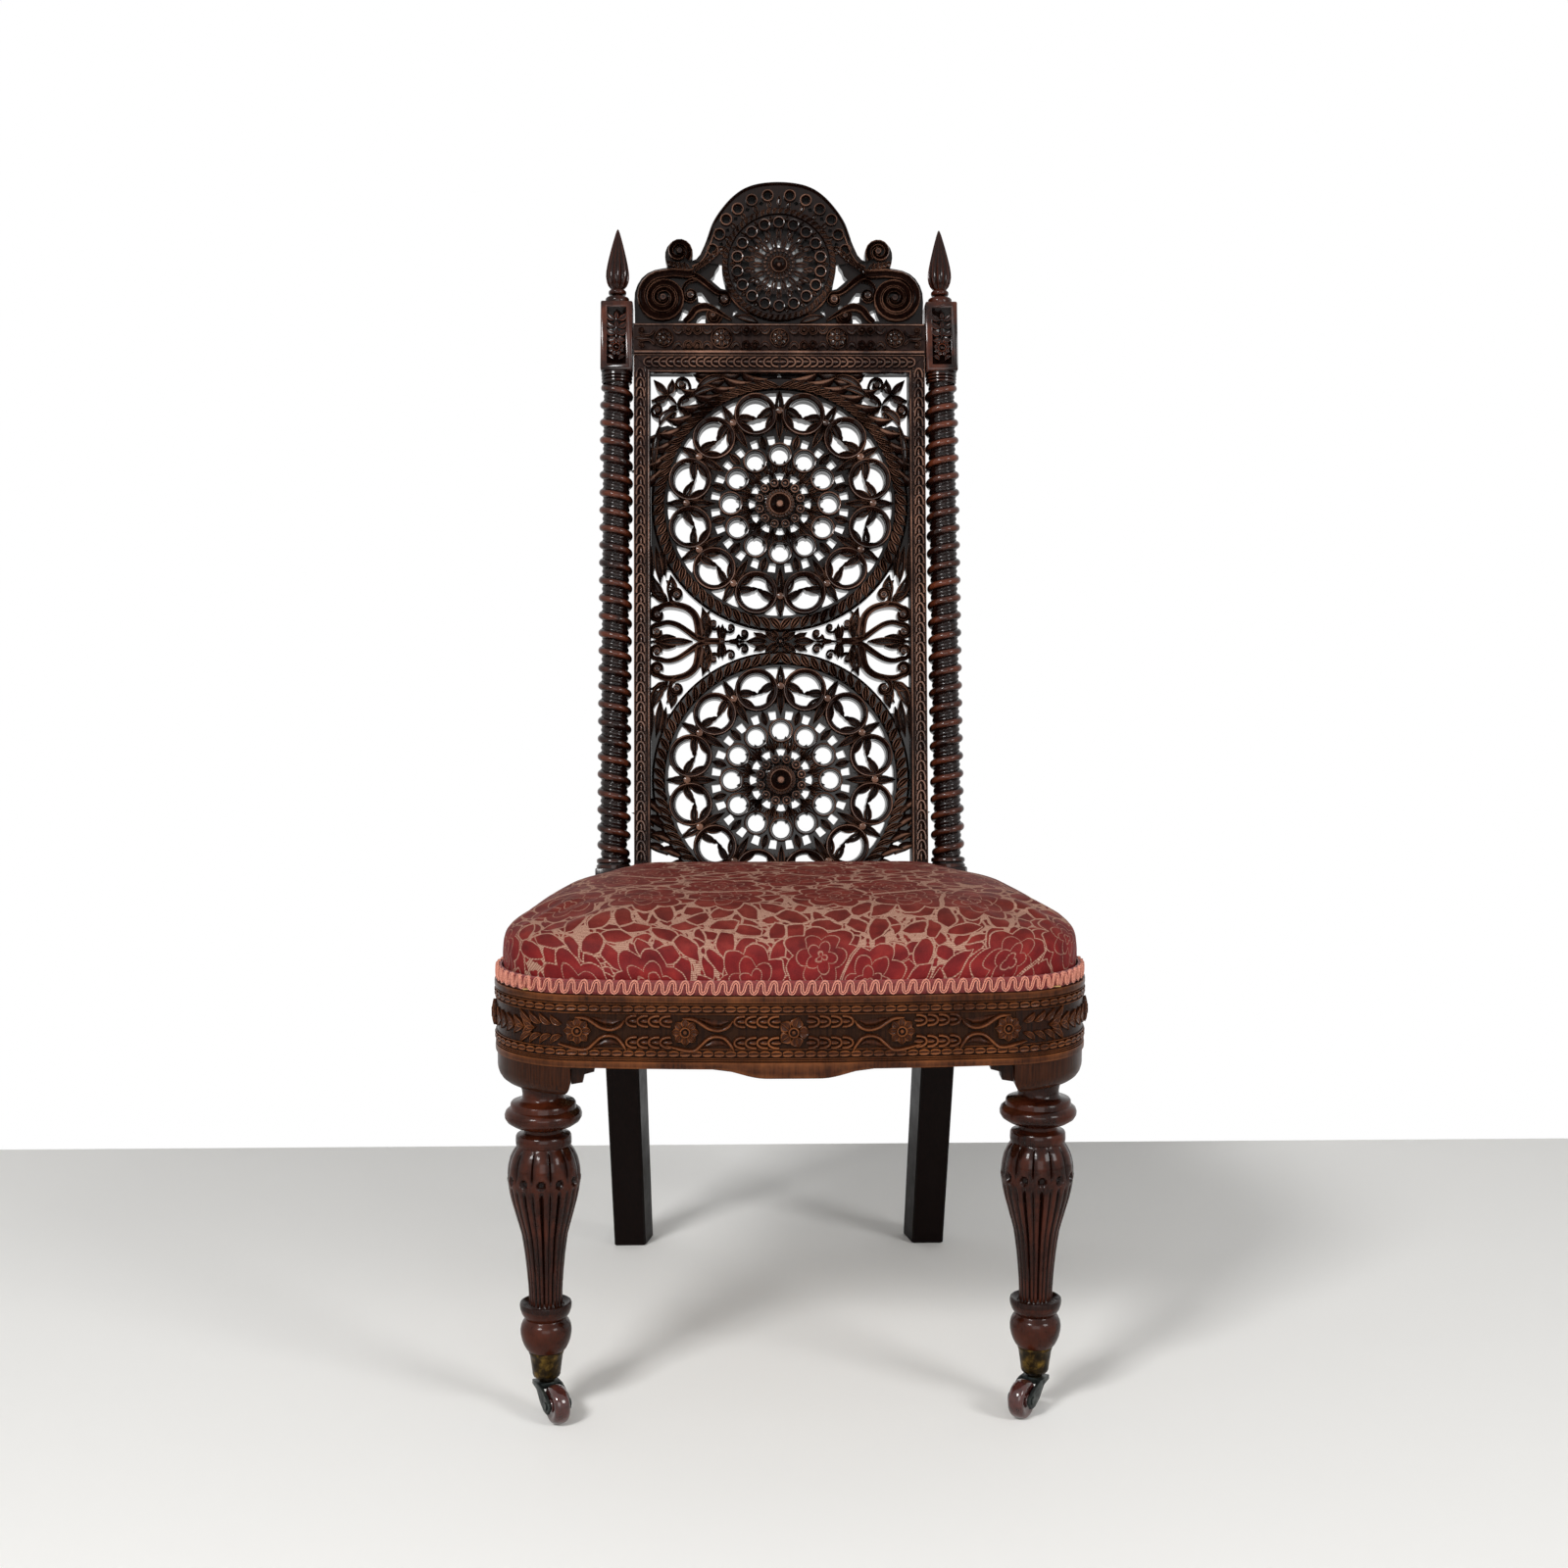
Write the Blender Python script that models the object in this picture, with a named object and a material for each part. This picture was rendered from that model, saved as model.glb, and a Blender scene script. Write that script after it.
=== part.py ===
"""Carved Anglo-Indian side chair with twisted back posts and castors on the front legs.

Metres, +Z up. The chair faces -Y, left and right are as seen from the front,
and the origin lies on the floor under the middle of the bounding box.
Run it with: blender --background --python part.py
"""
import math

import bmesh
import bpy
from mathutils import Matrix, Vector
from mathutils.geometry import delaunay_2d_cdt

# Driving sizes of the whole chair.
seat_width = 0.500        # over the front corners
overall_depth = 0.534     # front rail's bow to the back of the rear feet
rail_top = 0.3749         # floor to the top of the seat rails
rail_height = 0.0610
rail_thickness = 0.0260
back_rake = math.radians(9)       # posts and panel lean back
kink_rise = 0.0451        # rail tops up to the kink, where legs and posts meet
leg_kick = 0.1250         # kink to the rear ends of the feet
kink_height = rail_top + kink_rise
kink_depth = overall_depth / 2 - leg_kick
foot_width = 0.0330       # rear foot, square
fit_gap = 0.0003          # clearance between two seated pieces
cut_overrun = 0.0040      # cutters pass a face by this much
weld = 0.00001            # doubles closer than this are one point
sides = (("left", -1), ("right", 1))

for old in list(bpy.data.objects):
    bpy.data.objects.remove(old, do_unlink=True)


def finish_of(name, color, roughness, metallic=0.0):
    """One plain Principled material for a kind of surface."""
    made = bpy.data.materials.new(name)
    made.use_nodes = True
    shader = made.node_tree.nodes["Principled BSDF"]
    shader.inputs["Base Color"].default_value = (*color, 1)
    shader.inputs["Roughness"].default_value = roughness
    shader.inputs["Metallic"].default_value = metallic
    made.diffuse_color = (*color, 1)
    return made


carved_wood = ("carved_rosewood", (0.050, 0.020, 0.014), 0.42)
turned_wood = ("turned_rosewood", (0.060, 0.024, 0.015), 0.32)
plain_wood = ("plain_stained_wood", (0.022, 0.012, 0.009), 0.50)
damask = ("floral_damask", (0.360, 0.110, 0.090), 0.90)
braid = ("looped_gimp", (0.620, 0.250, 0.190), 0.85)
linen = ("linen_canvas", (0.420, 0.360, 0.270), 0.95)
jute = ("jute_webbing", (0.330, 0.240, 0.140), 0.95)
old_brass = ("worn_brass", (0.150, 0.090, 0.040), 0.45, 1.0)
dark_iron = ("dark_cast_iron", (0.050, 0.048, 0.045), 0.55, 1.0)
brown_china = ("glazed_china", (0.110, 0.045, 0.035), 0.22)


def keep(mesh_maker, name, finish, smooth=False):
    """Turns a bmesh into a finished, outward facing object of its own material."""
    bmesh.ops.remove_doubles(mesh_maker, verts=mesh_maker.verts, dist=weld)
    bmesh.ops.recalc_face_normals(mesh_maker, faces=mesh_maker.faces)
    mesh = bpy.data.meshes.new(name)
    mesh_maker.to_mesh(mesh)
    mesh_maker.free()
    piece = bpy.data.objects.new(name, mesh)
    bpy.context.collection.objects.link(piece)
    paint, color, roughness, *metal = finish
    mesh.materials.append(finish_of(name + "_" + paint, color, roughness, *metal))
    if smooth:
        mesh.shade_smooth()
        mesh.set_sharp_from_angle(angle=math.radians(40))
    return piece


def loft(rings):
    """Skins rings of points, all of one count, and caps both ends."""
    skin = bmesh.new()
    rows = [[skin.verts.new(point) for point in ring] for ring in rings]
    for near, far in zip(rows, rows[1:]):
        for k in range(len(near)):
            after = (k + 1) % len(near)
            skin.faces.new((near[k], near[after], far[after], far[k]))
    skin.faces.new(rows[0])
    skin.faces.new(rows[-1])
    return skin


def prism(outline, low, high):
    """A flat outline in X and Y raised from low to high."""
    return loft([[(x, y, z) for x, y in outline] for z in (low, high)])


def lathe(profile, around, axis_at=(0, 0, 0)):
    """Spins a profile of (radius, height) about a vertical axis."""
    turned = bmesh.new()
    points = [turned.verts.new((axis_at[0] + r, axis_at[1], axis_at[2] + z)) for r, z in profile]
    edges = [turned.edges.new(pair) for pair in zip(points, points[1:])]
    if profile[0][0] > 0:
        edges.append(turned.edges.new((points[-1], points[0])))
    bmesh.ops.spin(turned, geom=points + edges, cent=axis_at, axis=(0, 0, 1),
                   angle=math.tau, steps=around, use_merge=True)
    return turned


def block(low, high):
    """A plain box between two corners."""
    made = bmesh.new()
    bmesh.ops.create_cube(made, size=1)
    span = Vector(high) - Vector(low)
    middle = (Vector(high) + Vector(low)) / 2
    bmesh.ops.transform(made, verts=made.verts,
                        matrix=Matrix.Translation(middle) @ Matrix.Diagonal((*span, 1)))
    return made


def left_turning(loop):
    """The loop's points in counter-clockwise order."""
    turned = sum(x * after_z - after_x * z
                 for (x, z), (after_x, after_z) in zip(loop, loop[1:] + loop[:1]))
    return loop if turned > 0 else loop[::-1]


def pierced(outline, holes, thickness):
    """A board with holes, standing in X and Z, centred on Y."""
    points, loops = [], []
    for loop in [outline] + holes:
        loops.append(list(range(len(points), len(points) + len(loop))))
        points += [Vector(point) for point in left_turning(loop)]
    places, _, triangles, _, _, drawn_in = delaunay_2d_cdt(points, [], loops, 1, weld)
    board = bmesh.new()
    placed = [board.verts.new((place.x, -thickness / 2, place.y)) for place in places]
    sheet = [board.faces.new([placed[k] for k in triangle])
             for triangle, inside in zip(triangles, drawn_in) if inside == [0]]
    raised = bmesh.ops.extrude_face_region(board, geom=sheet, use_keep_orig=True)
    lifted = [made for made in raised["geom"] if isinstance(made, bmesh.types.BMVert)]
    bmesh.ops.translate(board, verts=lifted, vec=(0, thickness, 0))
    return board


def combine(piece, tools, operation):
    """Applies exact booleans with the given bmesh tools, then drops the tools."""
    for tool in tools:
        cutter = keep(tool, "cutter", plain_wood)
        cutter.hide_render = True
        cutter.display_type = "WIRE"
        step = piece.modifiers.new(operation.lower(), "BOOLEAN")
        step.operation = operation
        step.solver = "EXACT"
        step.object = cutter
        bpy.context.view_layer.update()
        result = bpy.data.meshes.new_from_object(
            piece.evaluated_get(bpy.context.evaluated_depsgraph_get()))
        piece.modifiers.clear()
        old_mesh, mesh_name = piece.data, piece.data.name
        paint = old_mesh.materials[0]
        piece.data = result
        bpy.data.meshes.remove(old_mesh)
        result.name = mesh_name
        result.materials.clear()
        result.materials.append(paint)
        spare = cutter.data
        bpy.data.objects.remove(cutter, do_unlink=True)
        bpy.data.meshes.remove(spare)
    welded = bmesh.new()
    welded.from_mesh(piece.data)
    bmesh.ops.remove_doubles(welded, verts=welded.verts, dist=weld)
    bmesh.ops.triangulate(welded, faces=welded.faces)
    welded.to_mesh(piece.data)
    welded.free()
    return piece


def ring_of(count, radius, middle=(0, 0), first=0.0):
    """Points spaced evenly round a circle."""
    turns = [first + math.tau * k / count for k in range(count)]
    return [(middle[0] + radius * math.cos(t), middle[1] + radius * math.sin(t)) for t in turns]


def scaled(shares, width, height, base=0.0):
    """Shares of a width and a height made real points, raised by base."""
    return [(width * r, base + height * z) for r, z in shares]


def mirrored(points):
    return [(-x, z) for x, z in points]


# The seat's plan: a shallow bow, round corners, and sides that run in to the back posts.
bow_radius = 1.500
corner_radius = 0.080
stile_width = 0.0350      # rear leg and post block, square
stile_spacing = 0.3340    # between the centre lines of the two stiles at the kink
foot_spacing = 0.3165     # and at the floor
rail_bottom = rail_top - rail_height
bow_centre_y = bow_radius - overall_depth / 2
corner_x = seat_width / 2 - corner_radius
corner_y = bow_centre_y - math.sqrt((bow_radius - corner_radius) ** 2 - corner_x ** 2)
bow_half_angle = math.atan2(corner_x, bow_centre_y - corner_y)
foot_reach = leg_kick - foot_width / 2
leg_rake = math.atan2(foot_reach, kink_height)      # rear legs kick back


def leg_width(z):
    """A rear leg narrows a little to its foot."""
    return foot_width + (stile_width - foot_width) * z / kink_height


def leg_x(z):
    """Half the spacing of the rear legs at a height."""
    return (foot_spacing + (stile_spacing - foot_spacing) * z / kink_height) / 2


def leg_y(z):
    """The centre of the raked rear leg at a height, under the kink."""
    return kink_depth + (kink_height - z) * math.tan(leg_rake)


def leg_front(z):
    return leg_y(z) - leg_width(z) / 2


side_end_y = leg_front(rail_top)
side_end_x = (stile_spacing + stile_width) / 2
side_reach = math.hypot(side_end_x - corner_x, side_end_y - corner_y)
side_toe = (math.atan2(side_end_y - corner_y, side_end_x - corner_x)
            - math.acos(corner_radius / side_reach))


def bow_point(angle, inset):
    reach = bow_radius - inset
    return reach * math.sin(angle), bow_centre_y - reach * math.cos(angle)


def corner_point(angle, inset):
    reach = corner_radius - inset
    return corner_x + reach * math.sin(angle), corner_y - reach * math.cos(angle)


def side_point(y, inset):
    """A point of the seat's side at the given depth, on the corner or the straight."""
    start_x, start_y = corner_point(math.pi / 2 + side_toe, inset)
    if y < start_y:
        return corner_x + math.sqrt((corner_radius - inset) ** 2 - (y - corner_y) ** 2), y
    return start_x - (y - start_y) * math.tan(side_toe), y


def front_y(x, inset):
    """Depth of the front outline at a distance from the middle."""
    if abs(x) <= bow_point(bow_half_angle, inset)[0]:
        return bow_centre_y - math.sqrt((bow_radius - inset) ** 2 - x ** 2)
    return corner_y - math.sqrt((corner_radius - inset) ** 2 - (abs(x) - corner_x) ** 2)


def right_outline(inset, rear_y, bow_steps=6, corner_steps=8, side_steps=4):
    """The plan's right half, from the front's middle to the rear end of the side."""
    points = [bow_point(bow_half_angle * k / bow_steps, inset) for k in range(bow_steps)]
    sweep = math.pi / 2 + side_toe - bow_half_angle
    points += [corner_point(bow_half_angle + sweep * k / corner_steps, inset)
               for k in range(corner_steps + 1)]
    begin = points[-1][1]
    points += [side_point(begin + (rear_y - begin) * k / side_steps, inset)
               for k in range(1, side_steps + 1)]
    return points


def whole_outline(inset, rear_y, **steps):
    """The closed plan, counter-clockwise from the front's middle."""
    right = right_outline(inset, rear_y, **steps)
    return right + mirrored(right[:0:-1])


# Front legs: a turned baluster foot in a brass cup, and the corner post in one piece with it.
leg_inset = 0.0405        # seat's side to the leg's axis
leg_setback = 0.0610      # seat's front to the leg's axis
post_inner_reach = 0.0265     # axis to the post's face at the front rail
post_rear_reach = 0.0260      # and at the side rail
leg_axis_x = seat_width / 2 - leg_inset
leg_axis_y = leg_setback - overall_depth / 2
post_inner_x = leg_axis_x - post_inner_reach
post_rear_y = leg_axis_y + post_rear_reach
post_low = 0.2880
leg_max_radius = 0.0327   # the big ring under the post
leg_sides = 18
cup_rim = 0.0558
cup_wall = 0.0013
cup_floor = 0.0330
cup_rim_radius = 0.0147
cup_waist_radius = 0.0119
cup_waist = 0.0351
spindle_radius = 0.0030
spindle_top = 0.0400
foot_rim_radius = cup_rim_radius - cup_wall - fit_gap
foot_end_radius = cup_waist_radius - cup_wall - fit_gap
ovolo = 0.0120            # rounding under the post
ovolo_steps = 4
turning_low = cup_rim + fit_gap
turning_height = post_low - turning_low
turning_shares = (
    (0.489, 0.003), (0.602, 0.031), (0.667, 0.074), (0.655, 0.094), (0.602, 0.107),
    (0.529, 0.117), (0.650, 0.130), (0.682, 0.160), (0.682, 0.181), (0.560, 0.190),
    (0.437, 0.219), (0.450, 0.256), (0.511, 0.349), (0.596, 0.441), (0.709, 0.497),
    (0.847, 0.571), (0.925, 0.625), (0.942, 0.673), (0.902, 0.716), (0.790, 0.752),
    (0.685, 0.771), (0.716, 0.777), (0.716, 0.814), (0.502, 0.826), (0.502, 0.836),
    (0.780, 0.850), (0.985, 0.876), (0.985, 0.896), (0.850, 0.913), (0.826, 0.936),
    (0.560, 0.945), (0.538, 0.970), (0.600, 1.000))


def leg_profile():
    bored = spindle_radius + fit_gap
    foot = [(0, spindle_top + fit_gap), (bored, spindle_top + fit_gap),
            (bored, cup_floor + fit_gap), (foot_end_radius, cup_floor + fit_gap),
            (foot_rim_radius, turning_low)]
    turning = scaled(turning_shares, leg_max_radius, turning_height, turning_low)
    return foot + turning + [(turning[-1][0], post_low + ovolo), (0, post_low + ovolo)]


def post_outline(inset):
    """The corner post's plan on the right: round outside, square inside."""
    first = math.asin((post_inner_x - corner_x) / (corner_radius - inset))
    last = math.pi / 2 + side_toe
    steps = 8
    outer = [corner_point(first + (last - first) * k / steps, inset) for k in range(steps + 1)]
    rear_x = side_point(post_rear_y, inset)[0]
    square = [(rear_x, post_rear_y), (post_inner_x, post_rear_y)]
    outer = [point for point in outer if point[1] < post_rear_y]
    return outer + square


for side, way in sides:
    rows = []
    for step in range(ovolo_steps + 1):
        turn = math.pi / 2 * step / ovolo_steps
        inset = ovolo * (1 - math.sin(turn))
        rows.append([(way * x, y, post_low + ovolo * (1 - math.cos(turn)))
                     for x, y in post_outline(inset)])
    rows.append([(way * x, y, rail_top) for x, y in post_outline(0)])
    leg = keep(lathe(leg_profile(), leg_sides, (way * leg_axis_x, leg_axis_y, 0)),
               "front_leg_" + side, turned_wood)
    combine(leg, [loft(rows)], "UNION")
    leg.data.shade_smooth()
    leg.data.set_sharp_from_angle(angle=math.radians(40))

# Small stepped brackets glued under the front rail, inside each leg post.
bracket_reach = 0.0190
bracket_depth = 0.0180
bracket_height = 0.0160
bracket_shares = ((0, 0), (0.50, 0.10), (0.56, 0.52), (1, 0.66), (1, 1), (0, 1))
for side, way in sides:
    start_x = post_inner_x - fit_gap
    profile = [(start_x - bracket_reach * u, rail_bottom - fit_gap - bracket_height * (1 - v))
               for u, v in bracket_shares]
    bracket_y = front_y(start_x, rail_thickness) - bracket_depth
    rows = [[(way * x, y, z) for x, z in profile] for y in (bracket_y, bracket_y + bracket_depth)]
    keep(loft(rows), "leg_bracket_" + side, plain_wood)

# Front rail: bowed, with a low apron drop in the middle.
apron_drop = 0.0078
apron_flat = 0.0220       # half the level part
apron_reach = 0.0640      # half the whole drop
front_rail_steps = 22


def apron(x):
    """How far the front rail's lower edge hangs down at x."""
    share = (apron_reach - abs(x)) / (apron_reach - apron_flat)
    share = min(max(share, 0), 1)
    return apron_drop * share * share * (3 - 2 * share)


rail_end_x = post_inner_x - fit_gap
rows = []
for k in range(front_rail_steps + 1):
    x = rail_end_x * (2 * k / front_rail_steps - 1)
    low = rail_bottom - apron(x)
    outer, inner = front_y(x, 0), front_y(x, rail_thickness)
    rows.append([(x, outer, rail_top), (x, outer, low), (x, inner, low), (x, inner, rail_top)])
keep(loft(rows), "seat_rail_front", carved_wood)

# Side rails: from the leg post back to the raked face of the rear leg.
side_rail_shares = (0, 0.04, 0.08, 1)     # stations along the rail, close on the round
for side, way in sides:
    rows = []
    for share in side_rail_shares:
        corners = []
        for inset, z in ((0, rail_top), (0, rail_bottom),
                         (rail_thickness, rail_bottom), (rail_thickness, rail_top)):
            front_end, rear_end = post_rear_y + fit_gap, leg_front(z) - fit_gap
            x, y = side_point(front_end + (rear_end - front_end) * share, inset)
            corners.append((way * x, y, z))
        rows.append(corners)
    keep(loft(rows), "seat_rail_" + side, carved_wood)

# Rear rail between the stiles, and a glued block in each rear corner.
rear_rail_thickness = 0.0280
rear_rail_front = side_end_y + 0.10 * rear_rail_thickness
rear_rail_end = leg_x(rail_bottom) - leg_width(rail_bottom) / 2 - fit_gap


def leg_inner(z, y):
    """Where a rear leg's inner face stands; the legs' sides run parallel to the side rails."""
    past = max(y - leg_front(z), 0)
    return leg_x(z) - leg_width(z) / 2 - past * math.tan(side_toe)


rear_rail_back = rear_rail_front + rear_rail_thickness
rows = []
for z in (rail_bottom, rail_top):
    front, back = (leg_inner(z, y) - fit_gap for y in (rear_rail_front, rear_rail_back))
    rows.append([(-front, rear_rail_front, z), (front, rear_rail_front, z),
                 (back, rear_rail_back, z), (-back, rear_rail_back, z)])
keep(loft(rows), "seat_rail_rear", plain_wood)

block_leg = 0.0420
block_height = 0.0420
block_low = rail_bottom + (rail_height - block_height) / 2
for side, way in sides:
    back = rear_rail_front - fit_gap
    corner = side_point(back, rail_thickness + fit_gap)
    corner = (min(corner[0], rear_rail_end), back)
    ahead = side_point(back - block_leg, rail_thickness + fit_gap)
    plan = [(way * x, y) for x, y in (corner, ahead, (corner[0] - block_leg, back))]
    keep(prism(plan, block_low, block_low + block_height), "corner_block_" + side, plain_wood)

# Back stiles: raked square leg, base block, twisted post and top block in one piece of wood.
post_splay = math.radians(0.40)
post_radius = 0.0167
groove_radius = 0.0125
twist_pitch = 0.0180
twist_around = 10
twist_rows_shares = ((0, 0), (0.30, 1), (0.60, 0.15))    # height in a turn, groove to roll
twist_low = -0.0108       # the twist's raw ends lie inside the blocks
frieze_low = 0.5134       # along the rake from the kink
frieze_height = 0.0310
frieze_high = frieze_low + frieze_height
block_under = 0.0164      # the top block passes the frieze rail below and above
block_over = 0.0229
twist_end = 0.0150        # the twist runs this far into the top block
base_block_low = (rail_top + 3 * fit_gap - kink_height) / math.cos(back_rake)
collar_low = -0.0010
collar_height = 0.0114
collar_radius = 0.0172
top_block_low = frieze_low - block_under
top_block_high = frieze_high + block_over
twist_high = top_block_low + twist_end
top_block_width = 0.0320
block_chamfer = 0.0025
finial_dowel_radius = 0.0040
finial_dowel_depth = 0.0150


def back_frame(x=0.0, tilt=0.0):
    """The back's own frame: Z up along the rake, Y to the rear, origin at the kink."""
    return (Matrix.Translation((x, kink_depth, kink_height))
            @ Matrix.Rotation(-back_rake, 4, "X") @ Matrix.Rotation(tilt, 4, "Y"))


def raked(made, x=0.0, tilt=0.0):
    bmesh.ops.transform(made, verts=made.verts, matrix=back_frame(x, tilt))
    return made


def chamfered_square(width, chamfer):
    half, cut = width / 2, width / 2 - chamfer
    return [(half, -cut), (half, cut), (cut, half), (-cut, half),
            (-half, cut), (-half, -cut), (-cut, -half), (cut, -half)]


def chamfered_block(width, low, high):
    """A square block with its four long edges and both ends eased."""
    full = chamfered_square(width, block_chamfer)
    eased = chamfered_square(width - 2 * block_chamfer, block_chamfer)
    levels = ((eased, low), (full, low + block_chamfer), (full, high - block_chamfer), (eased, high))
    return loft([[(x, y, z) for x, y in outline] for outline, z in levels])


def twist(way):
    """A helical roll and groove, its raw ends closed by fans to the axis."""
    made = bmesh.new()
    per_turn = len(twist_rows_shares)
    turns = int((twist_high - twist_low) / twist_pitch) - 1
    grid = []
    for row in range(per_turn * turns + 1):
        share, roll = twist_rows_shares[row % per_turn]
        radius = groove_radius + (post_radius - groove_radius) * roll
        height = twist_low + twist_pitch * (row // per_turn + share)
        ring = []
        for k in range(twist_around):
            turn = way * math.tau * k / twist_around
            ring.append(made.verts.new((radius * math.sin(turn), -radius * math.cos(turn),
                                        height + twist_pitch * k / twist_around)))
        grid.append(ring)
    last = len(grid) - 1
    for row in range(last):
        for k in range(twist_around - 1):
            made.faces.new((grid[row][k], grid[row][k + 1], grid[row + 1][k + 1], grid[row + 1][k]))
        if row + per_turn < last:
            made.faces.new((grid[row][-1], grid[row + per_turn][0],
                            grid[row + per_turn + 1][0], grid[row + 1][-1]))
    lower = grid[0] + [grid[row][0] for row in range(per_turn, 0, -1)]
    upper = grid[last] + [grid[row][-1] for row in range(last - 1, last - per_turn - 1, -1)]
    for rim, level in ((lower, grid[0][0].co.z), (upper, grid[last][-1].co.z)):
        hub = made.verts.new((0, 0, level))
        for k in range(len(rim)):
            made.faces.new((hub, rim[k], rim[(k + 1) % len(rim)]))
    return made


def rear_leg(way):
    """The raked leg below the kink, its sides parallel to the side rails, square at its top."""
    rows = []
    for z, slant in ((0, math.tan(side_toe)), (rail_top, math.tan(side_toe)),
                     (kink_height + base_block_low * math.cos(back_rake) / 2, 0)):
        half = leg_width(z) / 2
        rows.append([(way * leg_x(z) + half * u - way * half * (1 + v) * slant,
                      leg_y(z) + half * v, z) for u, v in ((-1, -1), (1, -1), (1, 1), (-1, 1))])
    return loft(rows)


for side, way in sides:
    stile_x = way * stile_spacing / 2
    lean = -way * post_splay
    stile = keep(rear_leg(way), "back_stile_" + side, carved_wood)
    base = raked(chamfered_block(stile_width, base_block_low, collar_low), stile_x, lean)
    shaft = raked(twist(way), stile_x, lean)
    collar = lathe(((0, 0), (collar_radius, 0), (collar_radius, collar_height), (0, collar_height)),
                   leg_sides, (0, 0, collar_low - block_chamfer))
    collar = raked(collar, stile_x, lean)
    top = raked(chamfered_block(top_block_width, top_block_low, top_block_high), stile_x, lean)
    combine(stile, [base, shaft, collar, top], "UNION")
    bored = finial_dowel_radius + fit_gap
    bore = lathe(((0, 0), (bored, 0), (bored, finial_dowel_depth + cut_overrun),
                  (0, finial_dowel_depth + cut_overrun)), 12,
                 (0, 0, top_block_high - finial_dowel_depth))
    combine(stile, [raked(bore, stile_x, lean)], "DIFFERENCE")

# Finials: a reeded bud on a ring and a disc, doweled into the top block.
finial_height = 0.0770
finial_radius = 0.0121
finial_shares = (
    (1, 0), (1, 0.062), (0.72, 0.090), (0.37, 0.105), (0.37, 0.128), (0.74, 0.145),
    (0.74, 0.175), (0.46, 0.190), (0.72, 0.235), (0.95, 0.300), (1, 0.355), (0.90, 0.460),
    (0.68, 0.620), (0.42, 0.790), (0.17, 0.950), (0, 1))
for side, way in sides:
    seat_level = top_block_high + fit_gap
    dowel_end = top_block_high - finial_dowel_depth + fit_gap
    profile = [(0, dowel_end), (finial_dowel_radius, dowel_end), (finial_dowel_radius, seat_level)]
    profile += scaled(finial_shares, finial_radius, finial_height, seat_level)
    bud = raked(lathe(profile, 12), way * stile_spacing / 2, -way * post_splay)
    keep(bud, "finial_" + side, turned_wood, smooth=True)

# Frieze rail between the top blocks.
frieze_thickness = 0.0300


def post_inside(along, half_width):
    """Half the clear width between the leaning posts at a place along the rake."""
    return stile_spacing / 2 - along * math.tan(post_splay) - half_width


frieze_half = post_inside(frieze_high, top_block_width / 2) - 2 * fit_gap
frieze = block((-frieze_half, -frieze_thickness / 2, frieze_low),
               (frieze_half, frieze_thickness / 2, frieze_high))
keep(raked(frieze), "frieze_rail", carved_wood)

# Panel frame: four moulded members, mitred at the corners.
frame_top = frieze_low - fit_gap
frame_half = post_inside(frame_top, post_radius) - 2 * fit_gap
frame_low = (rail_top + fit_gap - kink_height) / math.cos(back_rake)
frame_width = 0.0162
frame_thickness = 0.0280
frame_sink = frame_thickness / 2 * math.tan(back_rake)
frame_bottom = frame_low + frame_sink
mitre = fit_gap / 2


def frame_member(corners):
    """A mitred bar drawn by four corners in the back's plane."""
    rows = [[(x, y, z) for x, z in corners] for y in (-frame_thickness / 2, frame_thickness / 2)]
    return raked(loft(rows))


inner_half = frame_half - frame_width
inner_top, inner_low = frame_top - frame_width, frame_bottom + frame_width
keep(frame_member([(-frame_half + 2 * mitre, frame_top), (frame_half - 2 * mitre, frame_top),
                   (inner_half - 2 * mitre, inner_top), (-inner_half + 2 * mitre, inner_top)]),
     "panel_frame_top", carved_wood)
keep(frame_member([(-frame_half + 2 * mitre, frame_bottom), (frame_half - 2 * mitre, frame_bottom),
                   (inner_half - 2 * mitre, inner_low), (-inner_half + 2 * mitre, inner_low)]),
     "panel_frame_bottom", carved_wood)
for side, way in sides:
    keep(frame_member([(way * frame_half, frame_top - 2 * mitre),
                       (way * frame_half, frame_bottom + 2 * mitre),
                       (way * inner_half, inner_low + 2 * mitre),
                       (way * inner_half, inner_top - 2 * mitre)]),
         "panel_frame_" + side, carved_wood)

# Pierced panel: two great rosettes of rings inside ropes, scrollwork between and round them.
panel_thickness = 0.0250
panel_half = inner_half - fit_gap
panel_top, panel_low = inner_top - fit_gap, inner_low + fit_gap
# A rosette's sizes, as shares of the panel's half width.
rosette_drop_share = 1.008        # panel's top to the upper centre
rosette_spacing_share = 2.156
rope_inner_share = 0.896
big_ring_shares = (0.714, 0.120)      # centre's reach, and the hole's radius
small_ring_shares = (0.386, 0.066)
upper_rosette = panel_top - panel_half * rosette_drop_share
rosette_heights = (upper_rosette, upper_rosette - panel_half * rosette_spacing_share)
rope_inner = panel_half * rope_inner_share
big_ring_at, big_hole = (panel_half * share for share in big_ring_shares)
small_ring_at, small_hole = (panel_half * share for share in small_ring_shares)
spokes = 12
spoke = math.tau / spokes
outer_gap_shares = ((0.11, 0.985), (0.36, 0.985), (0.17, 0.865))     # turn in a spoke, of rope_inner
inner_gap_shares = ((0.20, 0.555), (0.80, 0.555), (0.70, 0.620), (0.30, 0.620))
middle_height = sum(rosette_heights) / 2
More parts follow.
